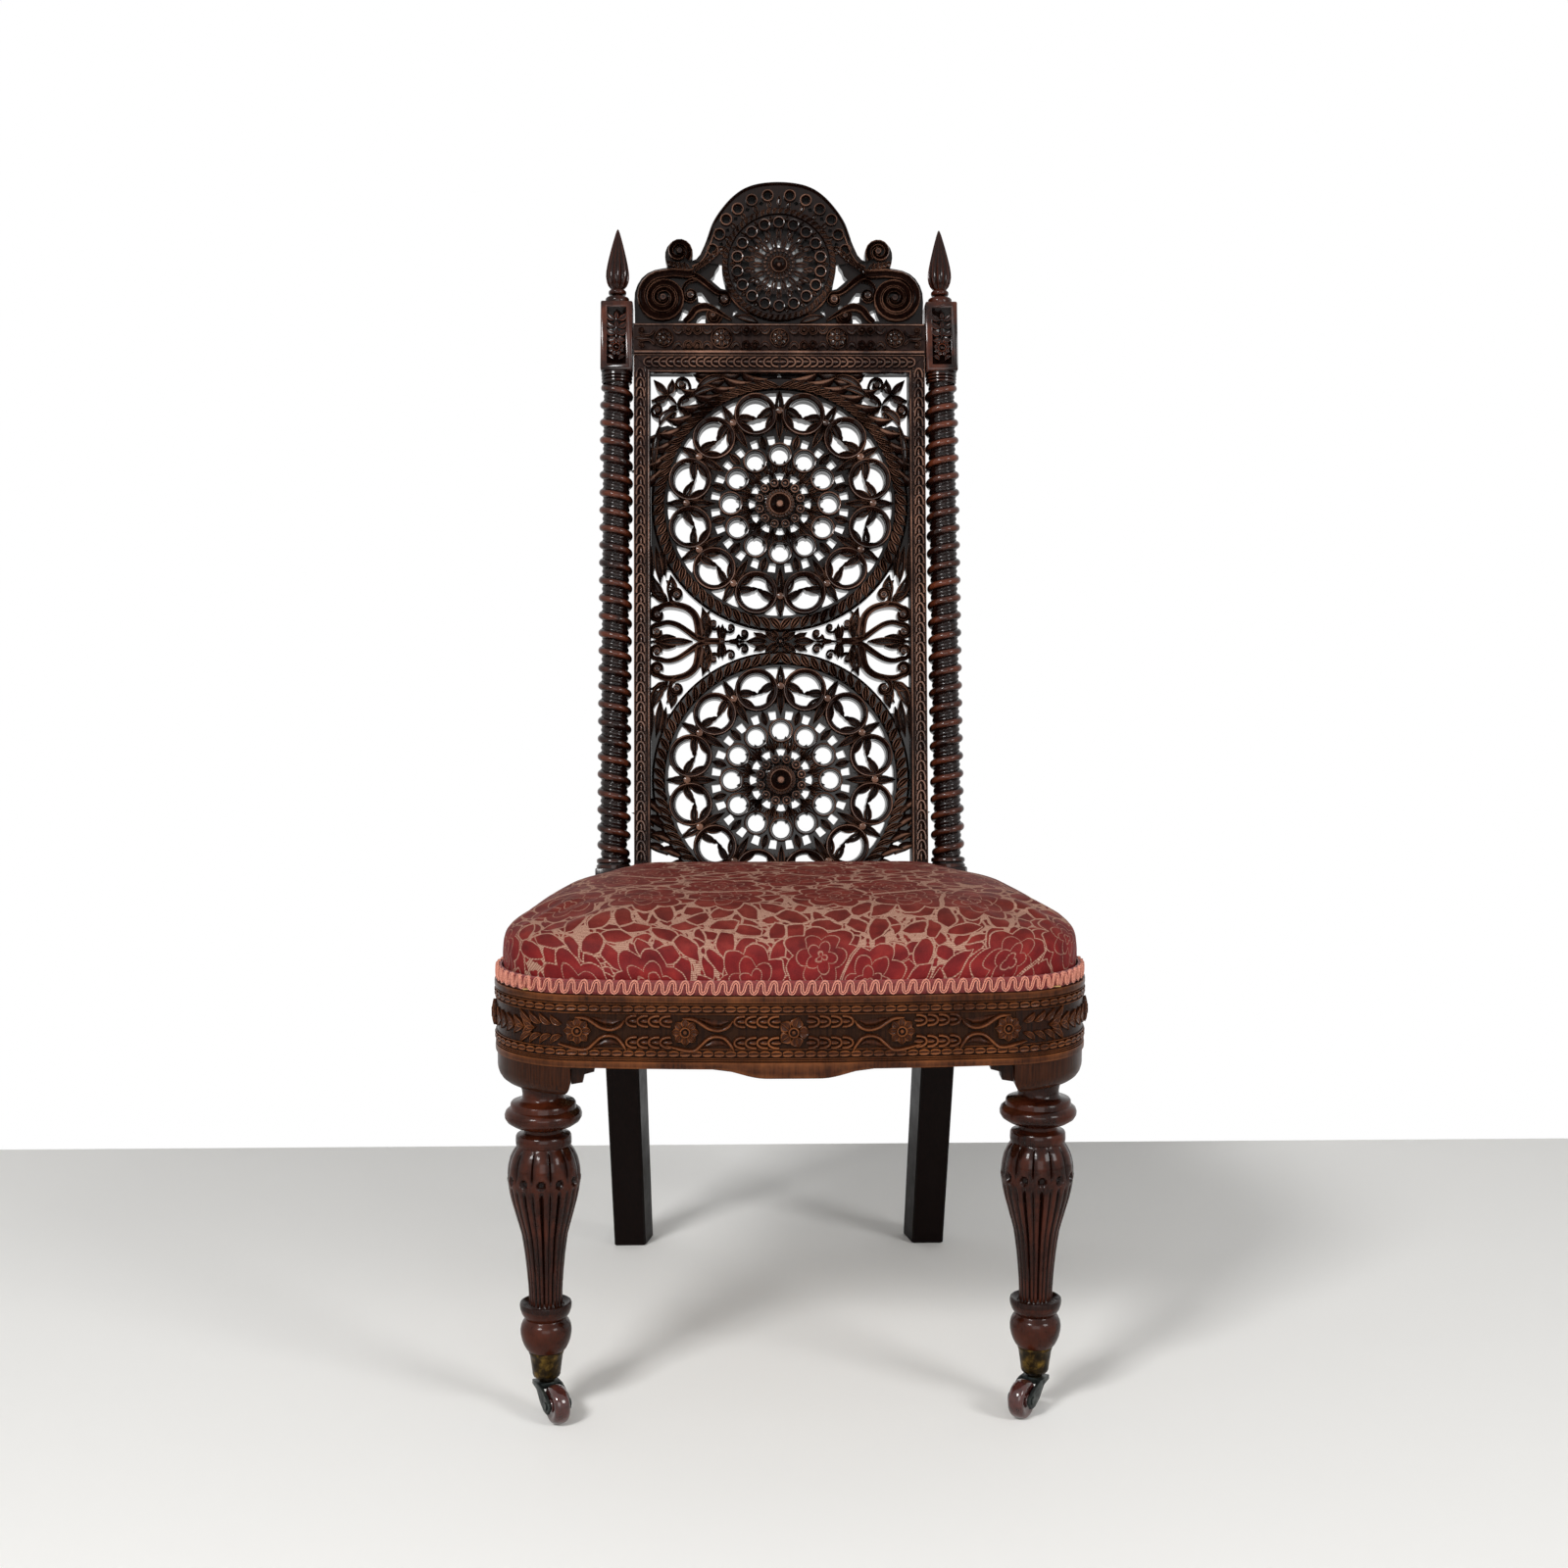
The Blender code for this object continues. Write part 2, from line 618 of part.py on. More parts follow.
# Scrollwork holes, as shares of the panel's half width and of the height between the
# middle and a rosette's centre, for one quarter of the middle.
middle_hole_shares = (
    ((0.985, 0.317), (0.937, 0.284), (0.985, 0.250)),
    ((0.740, 0.321), (0.632, 0.247), (0.660, 0.224), (0.800, 0.268)),
    ((0.883, 0.228), (0.830, 0.231), (0.747, 0.195), (0.713, 0.152), (0.718, 0.109),
     (0.762, 0.137), (0.883, 0.170)),
    ((0.985, 0.181), (0.944, 0.152), (0.985, 0.120)),
    ((0.900, 0.106), (0.838, 0.100), (0.827, 0.080), (0.900, 0.058)),
    ((0.785, 0.073), (0.755, 0.037), (0.810, 0.030)),
    ((0.550, 0.087), (0.497, 0.091), (0.485, 0.044), (0.550, 0.041)),
    ((0.356, 0.087), (0.323, 0.083), (0.323, 0.042), (0.352, 0.037)),
    ((0.254, 0.066), (0.155, 0.050), (0.240, 0.020)))
# Leaf gaps in a corner, as shares of the corner's square beside the rope, from its corner.
corner_square_share = 0.463
corner_hole_shares = (
    ((0.120, 0.090), (0.285, 0.090), (0.235, 0.190)),
    ((0.020, 0.160), (0.120, 0.280), (0.020, 0.350)),
    ((0.680, 0.105), (0.775, 0.105), (0.720, 0.165)),
    ((0.395, 0.355), (0.500, 0.290), (0.455, 0.375)),
    ((0.220, 0.530), (0.305, 0.460), (0.260, 0.530)),
    ((0.020, 0.720), (0.115, 0.790), (0.020, 0.920)))
corner_square = panel_half * corner_square_share


def rosette_holes(height):
    """All openings of one rosette round its centre."""
    holes = []
    for k in range(spokes):
        turn = spoke * k
        ring_turn = turn + spoke / 2
        middle = (big_ring_at * math.cos(ring_turn), height + big_ring_at * math.sin(ring_turn))
        holes.append(ring_of(8, big_hole, middle, ring_turn))
        middle = (small_ring_at * math.cos(turn), height + small_ring_at * math.sin(turn))
        holes.append(ring_of(6, small_hole, middle, turn))
        for shares, flips in ((outer_gap_shares, (1, -1)), (inner_gap_shares, (1,))):
            for flip in flips:
                holes.append([(rope_inner * r * math.cos(turn + flip * spoke * t),
                               height + rope_inner * r * math.sin(turn + flip * spoke * t))
                              for t, r in shares])
    return holes


half_gap = rosette_heights[0] - middle_height
panel_holes = rosette_holes(rosette_heights[0]) + rosette_holes(rosette_heights[1])
for flip_x in (1, -1):
    for flip_z in (1, -1):
        for hole in middle_hole_shares:
            panel_holes.append([(flip_x * panel_half * u, middle_height + flip_z * half_gap * v)
                                for u, v in hole])
        edge = panel_top if flip_z > 0 else panel_low
        for hole in corner_hole_shares:
            panel_holes.append([(flip_x * (panel_half - corner_square * u),
                                 edge - flip_z * corner_square * v) for u, v in hole])
panel_outline = [(-panel_half, panel_low), (panel_half, panel_low),
                 (panel_half, panel_top), (-panel_half, panel_top)]
keep(raked(pierced(panel_outline, panel_holes, panel_thickness)), "pierced_panel", carved_wood)

# Crest: a drilled arch with a pierced roundel, small volutes and round scrolled shoulders.
crest_thickness = 0.0240
crest_low = frieze_high + fit_gap
arch_radius = 0.0720
arch_rise = 0.1457        # crest's top over the frieze rail
small_volute_radius = 0.0136
small_volute_inset, small_volute_z = 0.0425, 0.0762
shoulder_radius = 0.0285
shoulder_z = 0.0290
crest_clearance = 0.0015
crest_half = post_inside(crest_low, top_block_width / 2) - crest_clearance
shoulder_x = crest_half - shoulder_radius
small_volute_x = crest_half - small_volute_inset
roundel_z = 0.0613
roundel_hole_at, roundel_hole = 0.0410, 0.0046
roundel_holes = 16
roundel_slot_shares = ((-0.016, 0.48), (0.016, 0.48), (0.020, 0.64), (-0.020, 0.64))
arch_centre_z = arch_rise - arch_radius
# Openings beside the roundel, as shares of crest_half and of arch_rise.
crest_hole_shares = (
    ((0.400, 0.490), (0.400, 0.365), (0.378, 0.245), (0.464, 0.302), (0.497, 0.342), (0.460, 0.390)),
    ((0.585, 0.240), (0.540, 0.228), (0.490, 0.152), (0.560, 0.172)),
    ((0.700, 0.110), (0.655, 0.104), (0.672, 0.050), (0.715, 0.042)),
    ((0.560, 0.078), (0.525, 0.050), (0.540, 0.022), (0.600, 0.022)))


def arc(middle, radius, first, last, steps):
    """Points along a circle's arc, angles in degrees."""
    turns = [math.radians(first + (last - first) * k / steps) for k in range(steps + 1)]
    return [(middle[0] + radius * math.cos(t), middle[1] + radius * math.sin(t)) for t in turns]


def crest_right():
    """Right half of the crest's edge, from its foot up to the top."""
    foot = [(crest_half, 0)]
    shoulder = arc((shoulder_x, shoulder_z + shoulder_radius / 10), shoulder_radius, 10, 82, 5)
    volute = arc((small_volute_x, small_volute_z), small_volute_radius, -42, 208, 9)
    flare = [(arch_radius * 1.055, arch_centre_z * 0.985)]
    return foot + shoulder + volute + flare + arc((0, arch_centre_z), arch_radius, 9, 90, 9)


right_edge = crest_right()
crest_outline = right_edge + mirrored(right_edge[-2::-1])
crest_holes = []
for shares in crest_hole_shares:
    hole = scaled(shares, crest_half, arch_rise)
    crest_holes += [hole, mirrored(hole)]
for k in range(roundel_holes):
    turn = math.tau * (k + 0.5) / roundel_holes
    middle = (roundel_hole_at * math.cos(turn), roundel_z + roundel_hole_at * math.sin(turn))
    crest_holes.append(ring_of(6, roundel_hole, middle, turn))
    crest_holes.append([(roundel_hole_at * r * math.cos(turn + math.tau * t),
                         roundel_z + roundel_hole_at * r * math.sin(turn + math.tau * t))
                        for t, r in roundel_slot_shares])
crest_board = pierced(crest_outline, crest_holes, crest_thickness)
bmesh.ops.translate(crest_board, verts=crest_board.verts, vec=(0, 0, crest_low))
keep(raked(crest_board), "crest", carved_wood)

# Seat: jute webbing and canvas on the rails, a domed stuffed cushion and a looped braid.
seat_rear_y = (kink_depth - (kink_height - rail_top) * math.tan(back_rake)
               - stile_width / 2 / math.cos(back_rake) - fit_gap)
webbing_thickness = 0.0020
webbing_inset = 0.0140
webbing_low = rail_top + fit_gap
web_cells = 4
web_gap_share = 0.50      # of the pitch
web_pitch_shares = (0.152, 0.193)     # of the seat's width and depth
web_pitch_x = seat_width * web_pitch_shares[0]
web_pitch_y = (seat_rear_y + overall_depth / 2) * web_pitch_shares[1]
seat_middle_y = (seat_rear_y - overall_depth / 2) / 2
web_holes = []
for row in range(web_cells):
    for column in range(web_cells):
        centre_x = web_pitch_x * (column - (web_cells - 1) / 2)
        centre_y = seat_middle_y + web_pitch_y * (row - (web_cells - 1) / 2)
        web_holes.append([(centre_x + web_pitch_x * web_gap_share * u / 2,
                           centre_y + web_pitch_y * web_gap_share * v / 2)
                          for u, v in ((-1, -1), (1, -1), (1, 1), (-1, 1))])
webbing_board = pierced(whole_outline(webbing_inset, seat_rear_y), web_holes, webbing_thickness)
bmesh.ops.transform(webbing_board, verts=webbing_board.verts,
                    matrix=Matrix.Translation((0, 0, webbing_low + webbing_thickness / 2))
                    @ Matrix.Rotation(-math.pi / 2, 4, "X"))
keep(webbing_board, "seat_webbing", jute)

canvas_thickness = 0.0012
canvas_low = webbing_low + webbing_thickness + fit_gap
keep(prism(whole_outline(webbing_inset, seat_rear_y), canvas_low, canvas_low + canvas_thickness),
     "seat_canvas", linen)

cushion_low = canvas_low + canvas_thickness + fit_gap
cushion_height = 0.0640
cushion_foot_inset = 0.0065
cushion_reach_shares = (0, 0.05, 0.13, 0.27, 0.46, 0.68, 0.88)    # from the side to the middle
cushion_rise_shares = (0.50, 0.68, 0.78, 0.87, 0.94, 0.98, 0.998)
cushion_steps = {"bow_steps": 5, "corner_steps": 7, "side_steps": 4}
bulge_inset = 0.0025


def cushion_rings():
    """Closed rings up the drawn-in side and over the crown."""
    foot = whole_outline(cushion_foot_inset, seat_rear_y, **cushion_steps)
    side_ring = whole_outline(bulge_inset, seat_rear_y, **cushion_steps)
    rings = [[(x, y, cushion_low) for x, y in foot],
             [(x, y, cushion_low + cushion_height / 5) for x, y in foot]]
    for reach, rise in zip(cushion_reach_shares, cushion_rise_shares):
        rings.append([(x * (1 - reach), y + (seat_middle_y - y) * reach,
                       cushion_low + cushion_height * rise) for x, y in side_ring])
    return rings


keep(loft(cushion_rings()), "seat_cushion", damask, smooth=True)

gimp_height = 0.0126
gimp_outer_inset = 0.0020
gimp_inner_inset = cushion_foot_inset - fit_gap
gimp_low = rail_top + fit_gap
outer_line = right_outline(gimp_outer_inset, seat_rear_y, **cushion_steps)
inner_line = right_outline(gimp_inner_inset, seat_rear_y, **cushion_steps)
outer_line = mirrored(outer_line[:0:-1]) + outer_line
inner_line = mirrored(inner_line[:0:-1]) + inner_line
rows = []
for (ox, oy), (ix, iy) in zip(outer_line, inner_line):
    rows.append([(ox, oy, gimp_low), (ox, oy, gimp_low + gimp_height),
                 (ix, iy, gimp_low + gimp_height), (ix, iy, gimp_low)])
keep(loft(rows), "gimp_braid", braid)

# Castors: brass cup on the foot, iron spindle, horned fork, axle and a china wheel.
wheel_radius = 0.0163
wheel_width = 0.0140
wheel_round = 0.0050
trail = 0.0250
castor_yaws = {"left": math.radians(25), "right": math.radians(-33)}
axle_radius = 0.0023
axle_head_radius = 0.0036
axle_head = 0.0010
fork_inside = 0.0156
horn_thickness = 0.0026
plate_top = 0.0288
plate_thickness = 0.0033
plate_half = 0.0075       # from the spindle's axis to the plate's rear edge
spindle_head_radius = 0.0052
spindle_head = 0.0026
cup_neck_radius = 0.0063
cup_shoulder_shares = (0.80, 0.38)
wheel_sides = 18
cup_low = plate_top + fit_gap
fork_width = fork_inside + 2 * horn_thickness
# The fork's side, from behind the spindle to the axle's eye, as shares of trail and plate_top.
fork_side_shares = (
    (-0.30, 1.00), (-0.30, 0.87), (0.10, 0.80), (0.45, 0.50), (0.80, 0.34), (1.08, 0.33),
    (1.25, 0.50), (1.22, 0.68), (1.00, 0.80), (0.62, 0.94), (0.40, 1.00))


def castor_frame(side, way):
    """The castor's own frame: -Y is the way the wheel trails, origin under the spindle."""
    return (Matrix.Translation((way * leg_axis_x, leg_axis_y, 0))
            @ Matrix.Rotation(castor_yaws[side], 4, "Z"))


def put_on_pivot(made, name, finish, pivot, smooth=False):
    """Keeps the piece with its origin on its joint's axis."""
    spot = Matrix.Translation(pivot)
    bmesh.ops.transform(made, verts=made.verts, matrix=spot.inverted())
    piece = keep(made, name, finish, smooth)
    piece.matrix_world = spot
    return piece


def cross_axle(profile, around):
    """A turned piece laid along X through the axle's centre."""
    made = lathe(profile, around)
    bmesh.ops.transform(made, verts=made.verts,
                        matrix=Matrix.Translation((0, -trail, wheel_radius))
                        @ Matrix.Rotation(math.pi / 2, 4, "Y"))
    return made


def wheel_profile():
    bored = axle_radius + fit_gap
    half = wheel_width / 2
    points = [(bored, -half)]
    for turn in (0, 30, 60, 90):
        across = half - wheel_round * (1 - math.sin(math.radians(turn)))
        outward = wheel_radius - wheel_round * (1 - math.cos(math.radians(turn)))
        points.append((outward, across))
    edge = points[1:]
    rim = [(r, -z) for r, z in edge[::-1]] + edge
    return [(bored, -half)] + rim + [(bored, half)]


for side, way in sides:
    place = castor_frame(side, way)
    spin_axis = place @ Vector((0, -trail, wheel_radius))
    swivel = Vector((way * leg_axis_x, leg_axis_y, plate_top))

    outer = [(spindle_radius + fit_gap, cup_low), (cup_neck_radius, cup_low),
             (cup_neck_radius, cup_low + plate_thickness / 3),
             (cup_waist_radius * cup_shoulder_shares[0], cup_low + cup_wall * 2),
             (cup_waist_radius, cup_waist), (cup_rim_radius, cup_rim)]
    inner = [(cup_rim_radius - cup_wall, cup_rim), (cup_waist_radius - cup_wall, cup_floor),
             (spindle_radius + fit_gap, cup_floor)]
    keep(lathe(outer + inner, wheel_sides, (way * leg_axis_x, leg_axis_y, 0)),
         "castor_cup_" + side, old_brass, smooth=True)

    head_top = plate_top - plate_thickness - fit_gap
    pin = [(0, head_top - spindle_head), (spindle_head_radius, head_top - spindle_head),
           (spindle_head_radius, head_top), (spindle_radius, head_top),
           (spindle_radius, spindle_top), (0, spindle_top)]
    keep(lathe(pin, 12, (way * leg_axis_x, leg_axis_y, 0)),
         "castor_spindle_" + side, dark_iron, smooth=True)

    half = fork_width / 2
    horned = [[(x, -trail * s, plate_top * h) for s, h in fork_side_shares] for x in (-half, half)]
    fork = put_on_pivot(loft([[place @ Vector(point) for point in row] for row in horned]),
                        "castor_fork_" + side, dark_iron, swivel)
    under_plate = plate_top - plate_thickness
    wheel_slot = block((-fork_inside / 2, -trail - wheel_radius - cut_overrun, -cut_overrun),
                       (fork_inside / 2, -plate_half, plate_top + cut_overrun))
    plate_slot = block((-fork_inside / 2, -plate_half - cut_overrun, -cut_overrun),
                       (fork_inside / 2, trail, under_plate))
    bored = spindle_radius + fit_gap
    spindle_hole = lathe(((0, 0), (bored, 0), (bored, plate_top + cut_overrun),
                          (0, plate_top + cut_overrun)), 12)
    bored = axle_radius + fit_gap
    reach = half + cut_overrun
    axle_hole = cross_axle(((0, -reach), (bored, -reach), (bored, reach), (0, reach)), 12)
    tools = []
    for tool in (wheel_slot, plate_slot, spindle_hole, axle_hole):
        bmesh.ops.transform(tool, verts=tool.verts, matrix=place)
        tools.append(tool)
    combine(fork, tools, "DIFFERENCE")

    shank = half + fit_gap
    axle = cross_axle(((0, -shank - axle_head), (axle_head_radius, -shank - axle_head),
                       (axle_head_radius, -shank), (axle_radius, -shank), (axle_radius, shank),
                       (axle_head_radius, shank), (axle_head_radius, shank + axle_head),
                       (0, shank + axle_head)), 12)
    wheel = cross_axle(wheel_profile(), wheel_sides)
    for made in (axle, wheel):
        bmesh.ops.transform(made, verts=made.verts, matrix=place)
    put_on_pivot(axle, "wheel_axle_" + side, dark_iron, spin_axis, smooth=True)
    put_on_pivot(wheel, "castor_wheel_" + side, brown_china, spin_axis, smooth=True)

bpy.context.view_layer.update()
solids = [made for made in bpy.data.objects if made.type == "MESH"]
for made in solids:
    flat = made.data
    flat.calc_loop_triangles()
    print(made.name, len(flat.loop_triangles))
corners = [made.matrix_world @ Vector(corner) for made in solids for corner in made.bound_box]
print("box", [round(min(c[i] for c in corners), 4) for i in range(3)],
      [round(max(c[i] for c in corners), 4) for i in range(3)],
      "nodes", len(solids), "triangles", sum(len(made.data.loop_triangles) for made in solids))
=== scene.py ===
"""Looks of a carved Anglo-Indian side chair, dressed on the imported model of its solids.

The chair faces -Y and stands on the floor at z = 0. Left and right are as seen from the front.
Carving is laid out in millimetres on the face it is cut in; everything else is in metres.
"""
import cmath
import math

import bmesh
import bpy
import numpy as np
from mathutils import Matrix, Vector
from mathutils.geometry import delaunay_2d_cdt


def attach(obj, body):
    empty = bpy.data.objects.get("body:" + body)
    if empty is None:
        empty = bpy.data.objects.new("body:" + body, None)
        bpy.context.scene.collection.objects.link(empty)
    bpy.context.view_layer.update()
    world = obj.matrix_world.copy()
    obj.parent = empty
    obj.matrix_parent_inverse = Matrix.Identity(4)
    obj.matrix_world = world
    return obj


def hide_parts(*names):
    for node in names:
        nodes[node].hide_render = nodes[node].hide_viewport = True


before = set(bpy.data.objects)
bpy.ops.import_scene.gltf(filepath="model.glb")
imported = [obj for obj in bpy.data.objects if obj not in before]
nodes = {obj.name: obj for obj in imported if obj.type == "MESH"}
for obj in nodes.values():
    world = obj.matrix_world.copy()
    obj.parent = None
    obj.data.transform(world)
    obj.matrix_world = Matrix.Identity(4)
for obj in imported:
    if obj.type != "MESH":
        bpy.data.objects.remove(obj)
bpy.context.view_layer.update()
bpy.ops.object.select_all(action="DESELECT")

# Rear legs and posts. Each is one length of dark rosewood: a square leg that kicks back, a base
# block, a barley twist cut with gouge and rasp, and a top block with a sunk carved field. The
# seat's rails and the back are tenoned into them.
mm = 0.001
kink = Vector((0, 0.1420, 0.4200))        # where leg and post meet, on the back's centre plane
back_rake = math.radians(9)
post_splay = math.radians(0.40)
post_spacing = 0.3340
sides = (("left", -1), ("right", 1))


def linear(hex_code):
    """An sRGB hex colour as linear RGBA."""
    shares = [int(hex_code[k:k + 2], 16) / 255 for k in (0, 2, 4)]
    return [s / 12.92 if s < 0.04045 else ((s + 0.055) / 1.055) ** 2.4 for s in shares] + [1]


def feed(tree, node, sockets):
    """Links each socket, named or in order, to an output, or sets it to a value."""
    for socket, given in sockets.items() if isinstance(sockets, dict) else enumerate(sockets):
        if isinstance(given, bpy.types.NodeSocket):
            tree.links.new(given, node.inputs[socket])
        else:
            node.inputs[socket].default_value = given


def add_node(tree, kind, sockets=(), stops=(), out=0, **settings):
    """Adds a shader node and gives one output; stops are a ramp's places and hex colours."""
    made = tree.nodes.new("ShaderNode" + kind)
    for name, setting in settings.items():
        setattr(made, name, setting)
    feed(tree, made, sockets)
    row = made.color_ramp.elements if stops else ()
    while len(row) < len(stops):
        row.new(0.5)
    for stop, (place, code) in zip(row, stops):
        stop.position = place
        stop.color = linear(code)
    return made.outputs[out]


def new_finish(name):
    """A new material, with its node tree and its shader."""
    made = bpy.data.materials.new(name)
    made.use_nodes = True
    return made, made.node_tree, made.node_tree.nodes["Principled BSDF"]


def rosewood(name, deep, body, rubbed, rough, fibre_mm=(1.6, 1.6, 30.0), coat=0.0, specular=0.06):
    """Waxed rosewood; the piece's own attribute for wear and light is 0 in a cut and 1 on a ridge.

    Painted shade with old wax and dirt darkens the cuts, rubbed wear with a painted highlight turns
    the ridges a paler red brown in patches, and the coat is the wax. fibre_mm is the grain's width,
    depth and length.
    """
    made, tree, shader = new_finish(name)
    place = add_node(tree, "TexCoord", out="Object")
    along = add_node(tree, "Mapping", {0: place, "Scale": [1 / (mm * size) for size in fibre_mm]})
    fibre = add_node(tree, "TexNoise", {0: along, "Scale": 1.0, "Detail": 3.0})
    patch = add_node(tree, "TexNoise", {0: place, "Scale": 1 / (38.46 * mm), "Detail": 4.0,
                                        "Roughness": 0.65})
    wear_and_light = add_node(tree, "Attribute", attribute_name="wear_and_light", out="Fac")
    grain = add_node(tree, "ValToRGB", (fibre,), ((0.25, deep), (0.62, body)))
    # Rubbed wear with a painted highlight: ridges turn the paler colour in patches.
    rubbed_and_lit_share = add_node(tree, "Math", (wear_and_light, patch, -0.16), operation="MULTIPLY_ADD")
    shown = add_node(tree, "MapRange", (rubbed_and_lit_share, 0.12, 0.52, 0.0, 1.0))
    base = add_node(tree, "Mix", {0: shown, 6: grain, 7: linear(rubbed)}, data_type="RGBA", out=2)
    # Painted shade with old wax and dirt: cuts darken to 0.4 of the colour.
    cut = add_node(tree, "MapRange", (wear_and_light, 0.0, 0.22, 0.40, 1.0))
    shade = add_node(tree, "Mix", {0: 1.0, 6: base, 7: cut}, data_type="RGBA", blend_type="MULTIPLY",
                     out=2)
    gloss = add_node(tree, "MapRange", (patch, 0.3, 0.7, rough - 0.07, rough + 0.10))
    bump = add_node(tree, "Bump", {"Height": fibre, "Strength": 0.35, "Distance": 0.25 * mm})
    feed(tree, shader, {"Base Color": shade, "Roughness": gloss, "Normal": bump,
                        "Specular IOR Level": specular, "Coat Weight": coat, "Coat Roughness": 0.10})
    return made


# Rasped across the grain, so its fibres lie flat; bold wax shine on red brown rolls. Their paler
# crests are rubbed wear with a painted highlight, their dark grooves painted shade.
twist_wood = rosewood("rosewood_rasped_twist", "090303", "1b0b07", "703620", 0.22,
                      fibre_mm=(9.0, 9.0, 2.2), coat=0.36)
# Planed, stained near black and hardly polished.
plain_wood = rosewood("rosewood_planed_and_stained", "0a0403", "170a07", "26120c", 0.40, specular=0.08)


class Carving:
    """Closed carved forms on one face: u to the right, v up, h out of the wood, in millimetres."""

    def __init__(self, place):
        self.place = place
        self.blocks = []

    def add(self, points, faces):
        """Keeps a form; a point is (u, v, h, worn)."""
        self.blocks.append((np.array(points, float), faces))

    def loft(self, rings, around=False):
        """Skins closed rings, and caps both ends or joins them."""
        size, count = len(rings[0]), len(rings)
        faces = []
        for row in range(count if around else count - 1):
            near, far = row * size, (row + 1) % count * size
            for k in range(size):
                after = (k + 1) % size
                faces.append((near + k, near + after, far + after, far + k))
        if not around:
            faces += [tuple(range(size)), tuple(range((count - 1) * size, count * size))]
        self.add([point for ring in rings for point in ring], faces)

    def strip(self, spine, widths, tops, section, floor):
        """A form along a line of complex places: half widths, heights, and a section across."""
        spine = np.array(spine)
        run = np.gradient(spine)
        across = 1j * run / np.maximum(abs(run), 1e-9)
        rings = []
        for here, side, half, top in zip(spine, across, widths, tops):
            ring = [(here - side * half, floor, 0)]
            ring += [(here + side * half * w, floor + (top - floor) * h, wear_and_light)
                     for w, h, wear_and_light in section]
            ring.append((here + side * half, floor, 0))
            rings.append([(at.real, at.imag, h, wear_and_light) for at, h, wear_and_light in ring])
        self.loft(rings)

    def turned(self, centre, profile, around=20):
        """A round form about centre from a profile of (radius, height, worn), rim first."""
        rings = []
        for radius, height, wear_and_light in profile:
            turns = [centre + max(radius, 0.01) * cmath.exp(2j * math.pi * k / around)
                     for k in range(around)]
            rings.append([(at.real, at.imag, height, wear_and_light) for at in turns])
        self.loft(rings)

    def hoop(self, centre, profile, around=32):
        """A ring about centre with a closed section of (radius, height, worn)."""
        rings = []
        for k in range(around):
            way = cmath.exp(2j * math.pi * k / around)
            ring = [(centre + radius * way, height, wear_and_light) for radius, height, wear_and_light in profile]
            rings.append([(at.real, at.imag, h, wear_and_light) for at, h, wear_and_light in ring])
        self.loft(rings, around=True)

    def slab(self, outline, holes, low, high, wear_and_light=0.15):
        """A flat board between two heights, with holes."""
        points, loops = [], []
        for loop in [outline] + holes:
            area = sum((a.conjugate() * b).imag for a, b in zip(loop, loop[1:] + loop[:1]))
            loop = loop if area > 0 else loop[::-1]
            loops.append(list(range(len(points), len(points) + len(loop))))
            points += [Vector((at.real, at.imag)) for at in loop]
        places, _, triangles, _, _, drawn_in = delaunay_2d_cdt(points, [], loops, 1, 0.01)
        kept = [tuple(t) for t, inside in zip(triangles, drawn_in) if inside == [0]]
        size = len(places)
        edges = {}
        for a, b, c in kept:
            for pair in ((a, b), (b, c), (c, a)):
                edges[pair] = edges.get(pair, 0) + 1
        walls = [(a, b, b + size, a + size) for a, b in edges if (b, a) not in edges]
        faces = [t[::-1] for t in kept] + [tuple(k + size for k in t) for t in kept] + walls
        layers = [(p.x, p.y, low, 0) for p in places] + [(p.x, p.y, high, wear_and_light) for p in places]
        self.add(layers, faces)

    def mark(self):
        return len(self.blocks)

    def spin(self, since, centre, count):
        """Repeats the forms kept since a mark round a centre."""
        for points, faces in self.blocks[since:]:
            at = points[:, 0] + 1j * points[:, 1] - centre
            for k in range(1, count):
                moved = points.copy()
                turned = centre + at * cmath.exp(2j * math.pi * k / count)
                moved[:, 0], moved[:, 1] = turned.real, turned.imag
                self.blocks.append((moved, faces))

    def mirror(self, since, column, about=0.0):
        """Repeats the forms kept since a mark across u (column 0) or v (column 1)."""
        for points, faces in self.blocks[since:]:
            moved = points.copy()
            moved[:, column] = 2 * about - moved[:, column]
            self.blocks.append((moved, faces))

    def shift(self, since, u=0.0, v=0.0):
        for points, _ in self.blocks[since:]:
            points[:, 0] += u
            points[:, 1] += v

    def finish(self, name, sharp=38):
        """One mesh object of all the forms, in its place in the chair."""
        points = np.concatenate([block[0] for block in self.blocks])
        faces, first = [], 0
        for block, own in self.blocks:
            faces += [tuple(first + k for k in face) for face in own]
            first += len(block)
        return mesh_piece(name, self.place(points[:, :3] * mm), faces, points[:, 3], sharp)


def mesh_piece(name, places, faces, wear_and_light, sharp=38):
    """An object from points and faces, faces outwards, with its worn attribute."""
    mesh = bpy.data.meshes.new(name)
    mesh.from_pydata([tuple(p) for p in places], [], faces)
    mesh.attributes.new("wear_and_light", "FLOAT", "POINT").data.foreach_set("value", np.array(wear_and_light, np.float32))
    shell = bmesh.new()
    shell.from_mesh(mesh)
    bmesh.ops.recalc_face_normals(shell, faces=shell.faces)
    shell.to_mesh(mesh)
    shell.free()
    mesh.shade_smooth()
    mesh.set_sharp_from_angle(angle=math.radians(sharp))
    piece = bpy.data.objects.new(name, mesh)
    bpy.context.scene.collection.objects.link(piece)
    return piece


